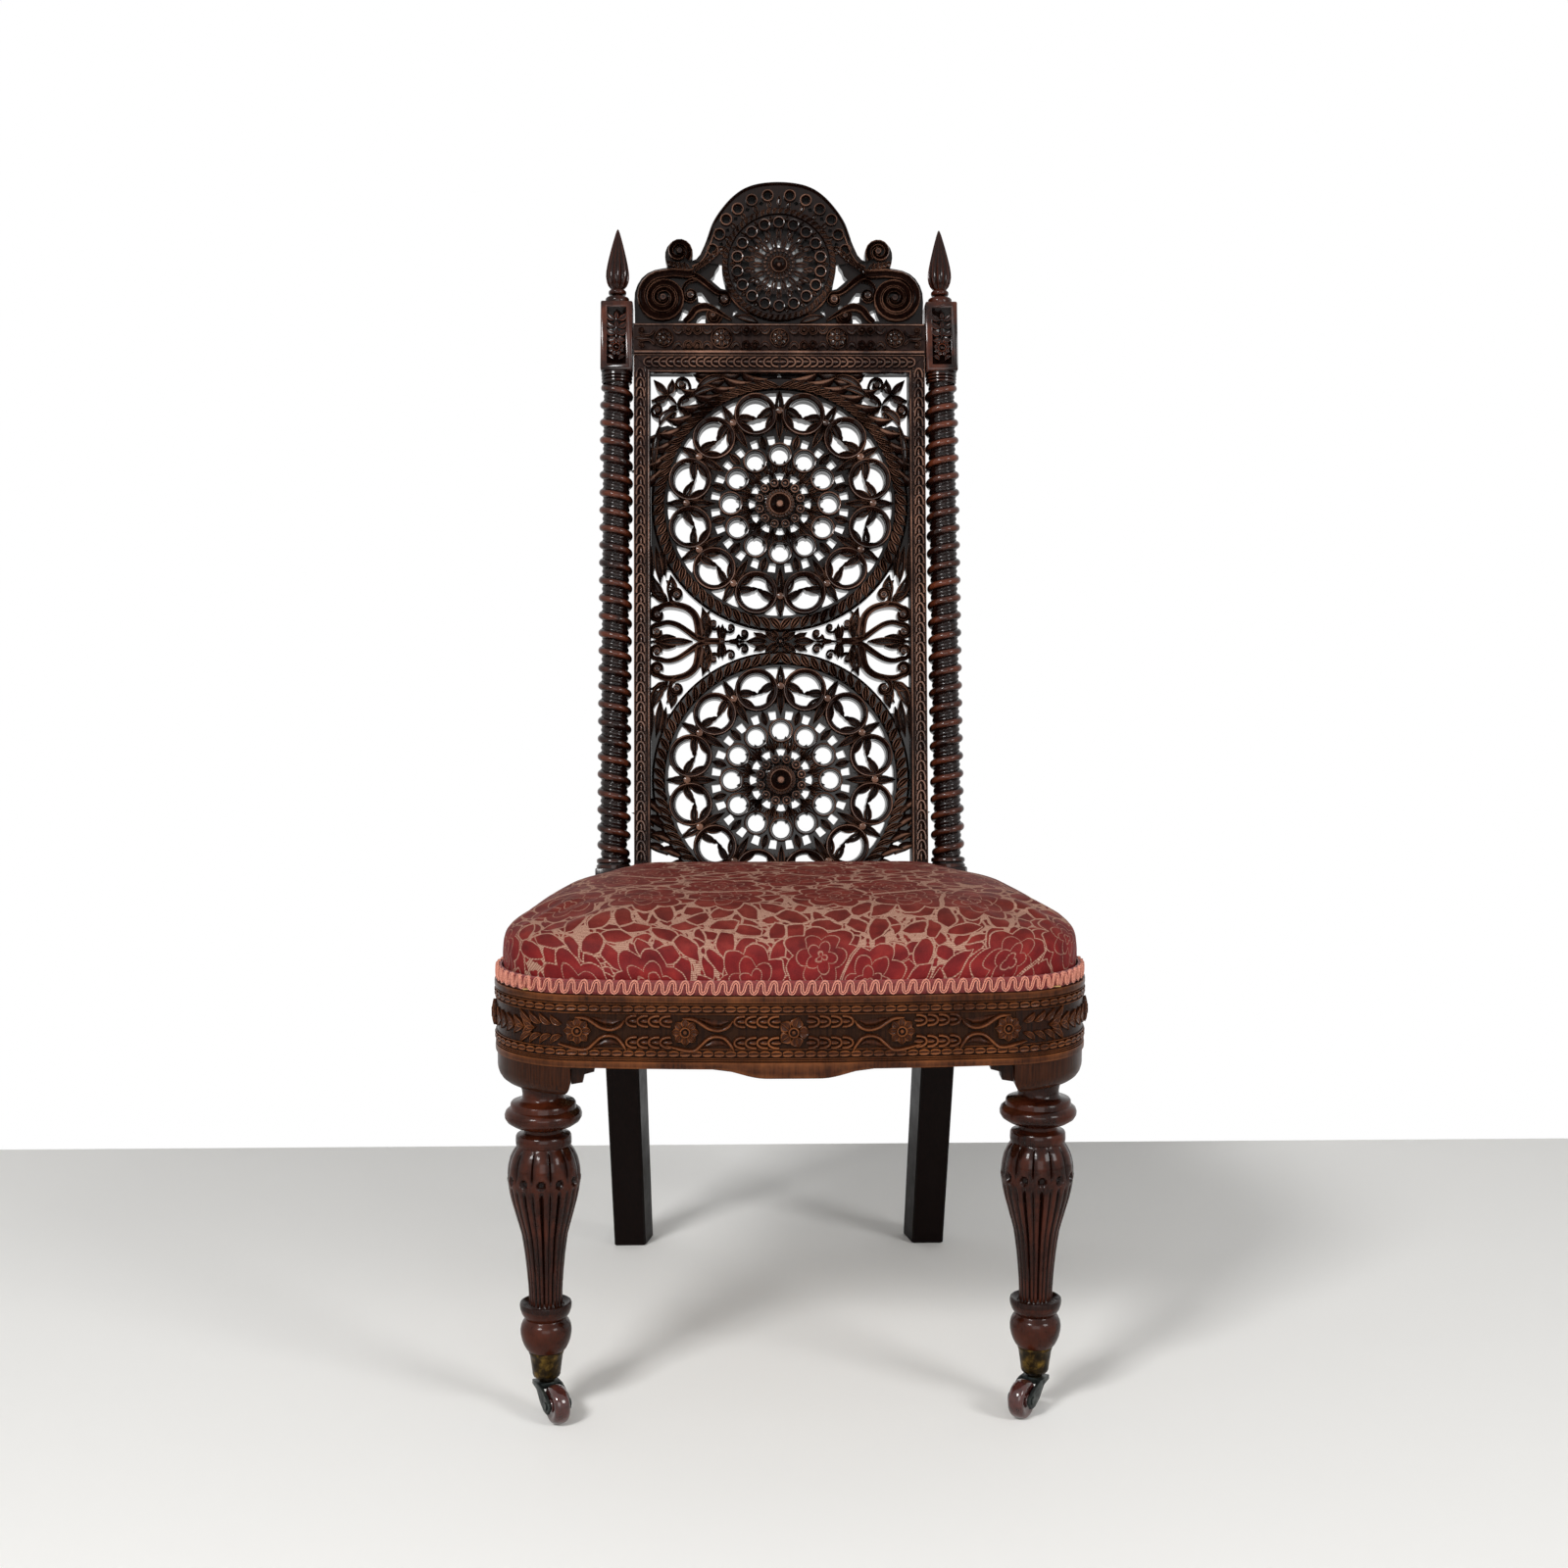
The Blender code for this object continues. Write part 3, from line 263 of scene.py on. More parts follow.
def join(name, pieces):
    """Joins pieces into the first and names it."""
    bpy.ops.object.select_all(action="DESELECT")
    for piece in pieces:
        piece.select_set(True)
    bpy.context.view_layer.objects.active = pieces[0]
    bpy.ops.object.join()
    joined = bpy.context.object
    joined.name = joined.data.name = name
    joined.select_set(False)
    return joined


def settle(piece, finish, body="chair_frame", stands_for=()):
    """Gives a finished piece its material, its body and the solids it stands for."""
    piece.data.materials.clear()
    piece.data.materials.append(finish)
    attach(piece, body)
    if stands_for:
        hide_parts(*stands_for)


def back_matrix(x=0.0, lean=0.0):
    """The raked back's own frame: X right, Z up the rake, -Y out of the front."""
    return (Matrix.Translation(kink + Vector((x, 0, 0))) @ Matrix.Rotation(-back_rake, 4, "X")
            @ Matrix.Rotation(lean, 4, "Y"))


def on_face(matrix, front):
    """Places (u, v, h) on a flat face that stands front metres before a frame's XZ plane."""
    turn = np.array(matrix)

    def place(points):
        local = np.stack([points[:, 0], -front - points[:, 2], points[:, 1]], axis=1)
        return local @ turn[:3, :3].T + turn[:3, 3]
    return place


def curve_through(points, steps=5):
    """A smooth line through complex places."""
    points = [2 * points[0] - points[1]] + list(points) + [2 * points[-1] - points[-2]]
    line = []
    for a, b, c, d in zip(points, points[1:], points[2:], points[3:]):
        for k in range(steps):
            t = k / steps
            line.append(0.5 * (2 * b + (c - a) * t + (2 * a - 5 * b + 4 * c - d) * t * t
                               + (3 * b - a - 3 * c + d) * t ** 3))
    return line + [points[-2]]


# Sections across a carved form, as (share of half width, share of height, wear and light): a high
# value rubs a ridge paler with a painted highlight, a low one darkens a hollow with painted shade.
leaf_section = ((-1, 0.35, 0.05), (-0.95, 0.90, 0.7), (-0.80, 1.0, 0.95), (-0.45, 0.80, 0.25),
                (-0.12, 0.82, 0.3), (0, 0.96, 0.95), (0.12, 0.82, 0.3), (0.45, 0.80, 0.25),
                (0.80, 1.0, 0.95), (0.95, 0.90, 0.7), (1, 0.35, 0.05))
roll_section = ((-1, 0.3, 0.05), (-0.75, 0.78, 0.4), (-0.35, 0.97, 0.8), (0, 1.0, 1.0),
                (0.35, 0.97, 0.8), (0.75, 0.78, 0.4), (1, 0.3, 0.05))
leaf_shares = (0.10, 0.50, 0.80, 0.97, 1.0, 0.90, 0.66, 0.34, 0.04)


def leaf(carving, start, end, half, top, tip=None, bend=0.0, floor=-12.5, section=leaf_section):
    """A pointed leaf from start to end, bowed sideways by a share of its length."""
    tip = top - 2.0 if tip is None else tip
    count = len(leaf_shares)
    spine, tops = [], []
    for k in range(count):
        t = k / (count - 1)
        spine.append(start + (end - start) * (t + 4j * bend * t * (1 - t)))
        tops.append(top + (tip - top) * t ** 1.5)
    carving.strip(spine, [half * share for share in leaf_shares], tops, section, floor)


def button(carving, centre, radius, top, floor=-12.5, around=16):
    """A flat dished button, as at the eye of a volute."""
    carving.turned(centre, ((radius, floor, 0), (radius, top - 1.6, 0.1), (radius * 0.88, top - 0.3, 0.7),
                            (radius * 0.72, top, 0.8), (radius * 0.45, top - 0.5, 0.4),
                            (0, top - 0.3, 0.6)), around)


def grid_piece(name, rows, wear_and_light_rows, sharp=50, closed=False):
    """A skin over rings of places, capped at both ends or joined round to the first ring."""
    size, count = len(rows[0]), len(rows)
    faces = [(row * size + k, row * size + (k + 1) % size, (row + 1) % count * size + (k + 1) % size,
              (row + 1) % count * size + k) for row in range(count if closed else count - 1)
             for k in range(size)]
    if not closed:
        faces += [tuple(range(size)), tuple(range((count - 1) * size, count * size))]
    places = np.concatenate([np.array(row, float) for row in rows])
    return mesh_piece(name, places, faces, np.concatenate(wear_and_light_rows), sharp)


twist_pitch = 17.7 * mm
twist_bottom, twist_top = 8.0 * mm, 486.0 * mm
twist_shares = (0, 0.06, 0.12, 0.17, 0.21, 0.24, 0.265, 0.29, 0.315, 0.35, 0.42, 0.50, 0.58, 0.65,
                0.685, 0.71, 0.735, 0.76, 0.79, 0.83, 0.88, 0.94, 1.0)
twist_radii = (16.9, 16.8, 16.4, 15.7, 14.8, 13.6, 12.4, 13.3, 13.2, 12.5, 13.5, 13.8, 13.5, 12.5,
               13.2, 13.3, 12.4, 13.6, 14.8, 15.7, 16.4, 16.8, 16.9)
# The bold roll's crest is rubbed paler with a painted highlight; the grooves are darkened with painted
# shade.
twist_wear_and_light = (0.8, 0.8, 0.75, 0.6, 0.4, 0.15, 0.0, 0.25, 0.25, 0.0, 0.15, 0.2, 0.15, 0.0,
              0.25, 0.25, 0.0, 0.15, 0.4, 0.6, 0.75, 0.8, 0.8)


def twisted_post(name, way):
    """The barley twist: a bold roll, and a low flat roll with a fillet each side between turns."""
    around, per_turn = 48, 26
    count = int((twist_top - twist_bottom) / twist_pitch * per_turn)
    rows, wear_and_light_rows = [], []
    for row in range(count + 1):
        height = twist_bottom + (twist_top - twist_bottom) * row / count
        turn = np.arange(around) * math.tau / around
        phase = (height / twist_pitch - way * turn / math.tau) % 1.0
        radius = np.interp(phase, twist_shares, twist_radii) * mm
        ends = min(row, count - row) / per_turn
        radius = radius * min(1.0, 0.93 + 0.07 * ends)
        rows.append(np.stack([radius * np.sin(turn), -radius * np.cos(turn),
                              np.full(around, height)], axis=1))
        wear_and_light_rows.append(np.interp(phase, twist_shares, twist_wear_and_light))
    return grid_piece(name, rows, wear_and_light_rows)


def lathe_piece(name, profile, around, wear_and_light=None, closed=False):
    """A turned piece on the vertical axis, from (radius, height) pairs in millimetres."""
    turn = np.arange(around) * math.tau / around
    rows = [np.stack([r * mm * np.cos(turn), r * mm * np.sin(turn), np.full(around, z * mm)], axis=1)
            for r, z in profile]
    wear_and_light = wear_and_light or [0.4] * len(profile)
    return grid_piece(name, rows, [np.full(around, w) for w in wear_and_light], 40, closed)


def eased_block(name, width, low, high, ease=1.6):
    """A square block with eased edges, on the post's axis, in millimetres."""
    bpy.ops.mesh.primitive_cube_add(size=1, location=(0, 0, (low + high) / 2 * mm),
                                    scale=(width * mm, width * mm, (high - low) * mm))
    block = bpy.context.object
    block.name = name
    bpy.ops.object.transform_apply(location=True, rotation=False, scale=True)
    bpy.ops.object.mode_set(mode="EDIT")
    bpy.ops.mesh.select_all(action="SELECT")
    bpy.ops.mesh.bevel(offset=ease * mm, segments=2, affect="EDGES")
    bpy.ops.object.mode_set(mode="OBJECT")
    block.data.shade_smooth()
    block.data.set_sharp_from_angle(angle=math.radians(38))
    wear_and_light = block.data.attributes.new("wear_and_light", "FLOAT", "POINT")
    wear_and_light.data.foreach_set("value", np.full(len(block.data.vertices), 0.35, np.float32))
    return block


def sunk_front(block, border, depth):
    """Insets the block's front face and sinks it, for carving, in millimetres."""
    bpy.ops.object.select_all(action="DESELECT")
    block.select_set(True)
    bpy.context.view_layer.objects.active = block
    bpy.ops.object.mode_set(mode="EDIT")
    bpy.ops.mesh.select_all(action="DESELECT")
    shell = bmesh.from_edit_mesh(block.data)
    for face in shell.faces:
        face.select = face.normal.y < -0.99
    bmesh.update_edit_mesh(block.data)
    bpy.ops.mesh.inset(thickness=border * mm)
    bpy.ops.mesh.inset(thickness=0.5 * mm, depth=-depth * mm)
    bpy.ops.object.mode_set(mode="OBJECT")
    # The sunk floor is darkened with painted shade and dirt; the border takes the rubbed colour.
    floor_y = min(v.co.y for v in block.data.vertices) + depth * mm
    for vertex, wear_and_light in zip(block.data.vertices, block.data.attributes["wear_and_light"].data):
        wear_and_light.value = 0.0 if abs(vertex.co.y - floor_y) < 0.1 * mm else 0.74


top_block_low, top_block_high, top_block_width = 497.0, 567.3, 32.0
leg_slant = 0.2152                # the seat's taper, as a slope
foot_reach, foot_kick = 0.15825, 0.1085   # half the feet's spacing, and how far they kick back
reach_gain = 0.00875              # how much wider the legs stand at the kink
for side, way in sides:
    parts = []
    raked = back_matrix(way * post_spacing / 2, -way * post_splay)
    parts.append(twisted_post("twist_" + side, way))
    # Beads are rubbed paler with a painted highlight, grooves darkened with painted shade.
    rings = ((14.2, 486), (15.4, 487.4), (15.4, 488.6), (14.0, 489.4), (15.6, 490.6), (15.6, 491.8),
             (14.2, 492.6), (15.8, 493.8), (15.8, 496), (15.2, 499))
    parts.append(lathe_piece("rings_" + side, rings, 32, [0.1, 0.7, 0.7, 0, 0.7, 0.7, 0, 0.7, 0.5, 0]))
    collar = ((15.6, -3), (17.2, -1.5), (17.2, 1.5), (16.0, 2.6), (15.8, 3.4), (17.0, 4.6), (17.0, 7.2),
              (16.2, 8.2), (14.6, 9.0), (13.0, 9.4))
    parts.append(lathe_piece("collar_" + side, collar, 32, [0, .6, .6, 0, 0, .6, .6, .3, 0, 0]))
    # The top block, its front sunk inside a border and carved with a flower under a leafy stem.
    block = eased_block("block_" + side, top_block_width, top_block_low, top_block_high)
    sunk_front(block, border=4.6, depth=2.0)
    parts.append(block)
    # The base block, with two small arches cut on its front.
    parts.append(eased_block("base_" + side, 35.0, -44.7, -1.0))
    arches = Carving(on_face(Matrix.Identity(4), 17.5 * mm))
    for middle in (-7.0, 7.0):
        bow = [complex(middle + 6.4 * math.cos(a), -19 + 13 * math.sin(a)) for a in
               [math.pi * k / 10 for k in range(11)]]
        arches.strip(bow, [1.1] * 11, [1.6] * 11, roll_section, -0.3)
        arches.strip([complex(middle, -19), complex(middle, -14), complex(middle, -9)], [4.0, 3.4, 1.0],
                     [0.5] * 3, ((-1, 1, 0), (1, 1, 0)), -0.3)
    parts.append(arches.finish("arches_" + side))
    carving = Carving(on_face(Matrix.Identity(4), (top_block_width / 2 - 1.5) * mm))
    low = top_block_low + 10
    petal = 1j * (low + 13)
    carving.hoop(petal, ((4.4, 0, 0), (4.3, 2.4, 0.6), (3.6, 3.0, 1), (2.9, 2.2, 0.3), (2.6, 0, 0)), 18)
    button(carving, petal, 1.7, 2.6, 0, 10)
    since = carving.mark()
    leaf(carving, petal + 4.2j, petal + 8.6j, 2.2, 2.2, 1.4, floor=0)
    carving.spin(since, petal, 9)
    since = carving.mark()
    for root, tip, half, bend in ((0.8 + 23j, 9.6 + 21j, 2.3, -0.2), (0.8 + 27j, 9.6 + 32j, 2.8, -0.25),
                                  (0.8 + 34j, 9.8 + 40j, 2.8, -0.25),
                                  (0.8 + 41j, 9.6 + 48.5j, 2.8, -0.22), (3.0, 9.4 + 4.5j, 2.1, 0.2)):
        leaf(carving, root + 1j * low, tip + 1j * low, half, 3.0, 1.4, bend=bend, floor=0)
    carving.mirror(since, 0)
    for start in (23, 31, 40):
        leaf(carving, 1j * (low + start), 1j * (low + start + 9.5), 2.0, 3.0, 1.6, floor=0)
    parts.append(carving.finish("field_" + side))
    stile = join("barley_twist_stile_" + side, parts)
    stile.data.transform(raked)
    # The leg kicks back; its sides run parallel to the seat's side rails, square under the block.
    leg_rows = []
    for z, slant in ((0.0, leg_slant), (0.0012, leg_slant), (0.375, leg_slant), (0.3979, 0.0)):
        half = (33.0 + 2.0 * z / kink.z) / 2 * mm - (1.2 * mm if z == 0 else 0.0)
        middle_x = foot_reach + reach_gain * z / kink.z
        middle_y = kink.y + (kink.z - z) * foot_kick / kink.z
        cut = 1.6 * mm
        leg_rows.append([(way * (middle_x + x - (y + half) * slant), middle_y + y, z) for x, y in (
            (half, -half + cut), (half, half - cut), (half - cut, half), (cut - half, half),
            (-half, half - cut), (-half, cut - half), (cut - half, -half), (half - cut, -half))])
    leg = grid_piece("leg", leg_rows, [np.full(8, 0.05)] * 4, 30)
    above = len(stile.data.polygons)
    stile = join("barley_twist_stile_" + side, [stile, leg])
    settle(stile, twist_wood, stands_for=["back_stile_" + side])
    stile.data.materials.append(plain_wood)
    for face in stile.data.polygons[above:]:
        face.material_index = 1

# Pierced panel. One board of rosewood held in the frame, sawn right through and then carved from
# the front: two rosettes of looped rings and leaves, each inside a rope, with scrolls and leafy
# stems between and round them.

# Carved and waxed, with a soft shine: black in the cuts with painted shade and dirt, the ridges
# rubbed paler with a painted highlight.
carved_wood = rosewood("rosewood_carved_and_waxed", "0a0403", "1e0e09", "8a6350", 0.22, coat=0.28)
panel_middle = 225.0                  # along the rake, from the kink
rosette_rise = 138.8                  # from the panel's middle to a rosette's centre
panel_side, panel_end = 129.3, 271.6  # half the width, and middle to top
panel_back = -12.5
ring_at, small_ring_at, spokes = 93.2, 49.4, 12
# Ring rims are rubbed paler with a painted highlight, and the inner walls darkened with painted shade.
ring_profile = ((21.9, panel_back, 0), (21.9, 6.0, 0.1), (21.5, 10.4, 0.3), (20.9, 12.0, 0.85),
                (20.1, 12.1, 0.65), (19.2, 10.9, 0.25), (18.0, 10.2, 0.3), (16.9, 8.6, 0.2),
                (16.2, 4.0, 0), (15.4, -4.0, 0), (15.0, panel_back, 0))
small_profile = ((12.6, panel_back, 0), (12.6, 4.0, 0.1), (12.3, 8.2, 0.3), (11.6, 9.8, 0.85),
                 (10.8, 9.6, 0.6), (10.0, 7.6, 0.2), (9.2, 3.0, 0), (8.6, -4.0, 0), (8.3, panel_back, 0))
rope_profile = ((129.0, panel_back, 0), (129.0, 3.0, 0), (126.5, 6.0, 0), (118.0, 6.0, 0),
                (115.6, 3.0, 0), (115.0, panel_back, 0))


def polar(reach, degrees):
    return cmath.rect(reach, math.radians(degrees))


def ring_line(centre, radius, count):
    return [centre + polar(radius, 360 * k / count) for k in range(count)]


def rosette(carving):
    """One rosette's sawn ground, looped rings, leaves, beads and boss about the origin."""
    holes = []
    for k in range(spokes):
        turn = 360 / spokes * k
        holes.append(ring_line(polar(ring_at, turn + 15), 15.6, 28))
        holes.append(ring_line(polar(small_ring_at, turn), 8.7, 20))
        holes.append([polar(24.6, turn - 5), polar(24.6, turn + 5), polar(30.6, turn + 8.5),
                      polar(31.4, turn), polar(30.6, turn - 8.5)])
        for way in (-1, 1):
            holes.append([polar(112.6, turn + 1.3 * way), polar(112.8, turn + 5 * way),
                          polar(112.3, turn + 8.0 * way), polar(107.5, turn + 6.4 * way),
                          polar(101.5, turn + 2.6 * way)])
            holes.append([polar(60.6, turn + 3.9 * way), polar(60.8, turn + 9.9 * way),
                          polar(69.3, turn + 10.6 * way), polar(69.3, turn + 4.2 * way)])
    carving.slab(ring_line(0, 116.5, 96), holes, panel_back, 3.0, 0)
    since = carving.mark()
    knot = polar(93.6, 0)
    carving.hoop(polar(ring_at, 15), ring_profile, 36)
    carving.hoop(polar(small_ring_at, 0), small_profile, 26)
    leaf(carving, knot - 2.5, polar(114.8, 0), 4.6, 10.2, 7.5)
    leaf(carving, knot + 1.0, polar(64.2, 0), 4.3, 11.2, 7.5)
    for way in (-1, 1):
        meet = polar(88.4, 15.7 * way)
        line = curve_through([knot + 1j * way, polar(95.0, 5.5 * way), polar(92.0, 10.5 * way), meet], 4)
        shares = [leaf_shares[min(8, k * 9 // len(line))] for k in range(len(line))]
        carving.strip(line, [4.1 * s for s in shares], [11.0 - 0.3 * k for k in range(len(line))],
                      leaf_section, panel_back)
        leaf(carving, knot + 0.8j * way - 1, polar(72.2, 11.4 * way), 4.4, 10.8, 5.0, bend=-0.08 * way)
        leaf(carving, knot + 1.6j * way - 1, polar(72.5, 5.9 * way), 3.0, 10.0, 5.0, bend=-0.02 * way)
        leaf(carving, polar(30, 15 + 2.6 * way), polar(44.5, 15 + 8.5 * way), 3.0, 7.5, 4.5,
             bend=0.08 * way)
        leaf(carving, knot + 1.4j * way, polar(105.0, 7.2 * way), 1.5, 11.6, 11.2, bend=0.10 * way)
    carving.turned(knot, ((4.0, panel_back, 0), (4.0, 9.9, 0.5), (3.1, 11.8, 0.9), (0, 12.8, 0.85)), 14)
    leaf(carving, polar(56.0, 15), polar(71.5, 15), 3.9, 8.4, 8.0)
    leaf(carving, polar(46, 15), polar(25.5, 15), 4.4, 6.4, 8.0)
    leaf(carving, polar(39.5, 0), polar(31.2, 0), 5.0, 6.4, 6.0)
    leaf(carving, polar(15, 0), polar(25.4, 0), 2.6, 7.0, 6.0)
    carving.turned(polar(21.2, 15), ((4.5, panel_back, 0), (4.5, 6.6, 0.2), (4.1, 8.8, 0.8),
                                     (3.3, 9.2, 0.9), (2.6, 7.2, 0), (1.8, 7.4, 0.1),
                                     (1.1, 9.2, 0.9), (0, 9.8, 1)), 14)
    button(carving, polar(13.0, 0), 1.9, 8.6, around=8)
    button(carving, polar(13.0, 15), 1.9, 8.6, around=8)
    carving.spin(since, 0, spokes)
    carving.turned(0, ((17.5, panel_back, 0), (17.5, 3.5, 0), (11.8, 5.0, 0.1), (11.2, 8.6, 0.7),
                       (10.2, 9.4, 0.9), (8.9, 7.0, 0.1), (4.4, 5.0, 0.0), (3.8, 7.6, 0.5),
                       (2.8, 9.2, 0.9), (0, 9.8, 1)), 36)


# Strand ridges are rubbed paler with a painted highlight, the hollows between darkened with painted shade.
lens_section = ((-1, 0.3, 0.0), (-0.86, 0.88, 0.7), (-0.66, 0.94, 1.0), (-0.42, 0.62, 0.05),
                (0, 1.0, 1.0), (0.42, 0.62, 0.05), (0.66, 0.94, 1.0), (0.86, 0.88, 0.7),
                (1, 0.3, 0.0))
plume_section = ((-1, 0.3, 0.0), (-0.85, 0.72, 0.3), (-0.5, 0.96, 0.8), (-0.2, 1.0, 0.9), (0.2, 0.86, 0.3),
                 (0.7, 0.62, 0.1), (1, 0.3, 0.0))


def strand(carving, reach, turn, slant, half, length, top, bend=0.06, floor=2.0):
    """A lens-shaped strand on a circle, leaning outwards as it runs counter-clockwise."""
    middle = polar(reach, turn)
    run = cmath.exp(1j * math.radians(turn + 90 - slant))
    leaf(carving, middle - run * length / 2, middle + run * length / 2, half, top, top - 0.6,
         bend=bend, floor=floor, section=lens_section)


def half_rope(carving):
    """The left half's strands: bold beads near the panel's middle, then finer and feathered."""
    turn = 267.6
    while turn > 176:
        strand(carving, 122.0, turn, 47, 4.2, 16.0, 12.4)
        turn -= 4.7
    while turn > 93:
        slant = 28 + 18 * (turn - 93) / 83
        strand(carving, 121.4, turn, slant, 3.1, 19.0, 12.0)
        turn -= 4.2
    for reach, first, last, step, half, length, top in (
            (132.5, 168, 94, 7.4, 5.4, 30.0, 12.0), (143.5, 164, 148, 6.6, 4.6, 26.0, 10.8),
            (144.0, 126, 100, 7.2, 5.4, 30.0, 11.0), (154.0, 120, 102, 7.4, 4.8, 24.0, 10.0)):
        turn = first
        while turn > last:
            middle = polar(reach, turn)
            run = cmath.exp(1j * math.radians(turn + 66 - 20 * (turn - 93) / 83))
            leaf(carving, middle - run * length / 2, middle + run * length / 2, half, top - 5.0, top,
                 bend=0.14, floor=0, section=plume_section)
            turn -= step


band_section = ((-1, 0.5, 0.1), (-0.9, 0.95, 0.6), (-0.6, 1.0, 0.7), (0, 0.86, 0.25),
                (0.6, 1.0, 0.7), (0.9, 0.95, 0.6), (1, 0.5, 0.1))


def tendril(carving, stem, eye, radius, hand, half, top, turns=0.85, floor=-12.5, tip_share=0.5,
            section=band_section):
    """A carved stem that runs into a volute round an eye; hand 1 winds counter-clockwise."""
    line = curve_through(stem, 4)
    begin = line[-1] - eye
    steps = int(14 * turns) + 2
    coil = [eye + begin * (1 + (radius * 0.62 / abs(begin) - 1) * k / steps)
            * cmath.exp(2j * math.pi * hand * turns * k / steps) for k in range(1, steps + 1)]
    spine = line + coil
    count = len(spine)
    widths = [half * (1 + (tip_share - 1) * (k / (count - 1)) ** 0.8) for k in range(count)]
    widths[0] *= 0.5
    carving.strip(spine, widths, [top] * count, section, floor)
    button(carving, eye, radius * 0.62, top + 0.4, floor)


def from_middle(across, down):
    """A place in the scrollwork, read off the photograph enlarged 5.5 times."""
    return complex((144.1 - 0.1819 * across) * 0.98, 89.15 - 0.1819 * down)


def from_corner(across, down):
    """A place in an upper corner, read off the photograph enlarged 11 times."""
    return complex((136.3 - 0.0913 * across) * 0.989, 274.9 - 0.0913 * down)


def middle_scrolls(carving):
    """A quarter of the scrollwork between the rosettes: to the right, and above the middle."""
    at = from_middle
    tendril(carving, [at(480, 489), at(380, 486), at(320, 466), at(268, 430), at(212, 396),
                      at(158, 384), at(112, 396)], at(100, 436), 5.6, -1, 3.5, 9.8)
    tendril(carving, [at(338, 468), at(330, 400), at(312, 345), at(268, 306), at(205, 288),
                      at(148, 288), at(106, 306)], at(103, 341), 5.8, -1, 4.8, 9.4, tip_share=0.45)
    tendril(carving, [at(215, 290), at(182, 268), at(172, 240)], at(210, 232), 5.8, 1, 2.6, 9.5)
    tendril(carving, [at(455, 478), at(444, 440), at(450, 405)], at(418, 395), 4.6, 1, 2.0, 9.2)
    tendril(carving, [at(470, 478), at(482, 445), at(480, 420)], at(511, 414), 3.8, -1, 1.7, 8.8)
    tendril(carving, [at(500, 490), at(545, 480), at(556, 455)], at(586, 447), 4.3, -1, 1.8, 9.0)
    leaf(carving, at(382, 482), at(352, 300), 6.2, 8.0, 8.8, bend=0.05)
    leaf(carving, at(352, 470), at(398, 318), 5.0, 7.2, 7.4, bend=-0.10)
    leaf(carving, at(392, 440), at(362, 392), 3.4, 9.8, 9.0, bend=0.2)
    leaf(carving, at(466, 488), at(467, 392), 3.6, 9.4, 7.0)
    leaf(carving, at(160, 268), at(64, 232), 5.4, 8.0, 6.5, bend=0.12)
    leaf(carving, at(150, 262), at(78, 120), 6.0, 8.4, 7.0, bend=-0.12)
    leaf(carving, at(165, 250), at(176, 120), 5.6, 8.0, 6.5, bend=0.10)
    leaf(carving, at(205, 200), at(150, 150), 3.6, 7.6, 6.5)
    leaf(carving, at(120, 170), at(92, -40), 4.4, 8.2, 7.5, bend=0.02)
    leaf(carving, at(150, 130), at(128, -60), 3.6, 8.0, 7.5, bend=-0.02)
    leaf(carving, at(68, 170), at(62, -60), 3.2, 7.6, 7.5)
    leaf(carving, at(85, 490), at(205, 462), 3.2, 7.0, 5.0, bend=-0.1)
    leaf(carving, 13 + 5j, 27 + 9.5j, 3.6, 6.5, 5.0, bend=-0.1)
    leaf(carving, 2 + 3j, 8.5 + 11.5j, 3.4, 6.8, 6.0)
    leaf(carving, 3 + 1j, 15.5 + 10.0j, 3.6, 6.6, 6.0)
    leaf(carving, 1.5 + 1.5j, 8 + 4.5j, 2.6, 10.0, 8.5)


def side_filler(carving):
    """The carved ground between a rope and the frame, above and below the widest place."""
    rope = [rosette_rise * 1j + polar(127, turn) for turn in range(-32, 34, 6)]
    carving.slab([complex(panel_side, 74)] + rope + [complex(panel_side, 206)], [], panel_back, 2.0, 0)


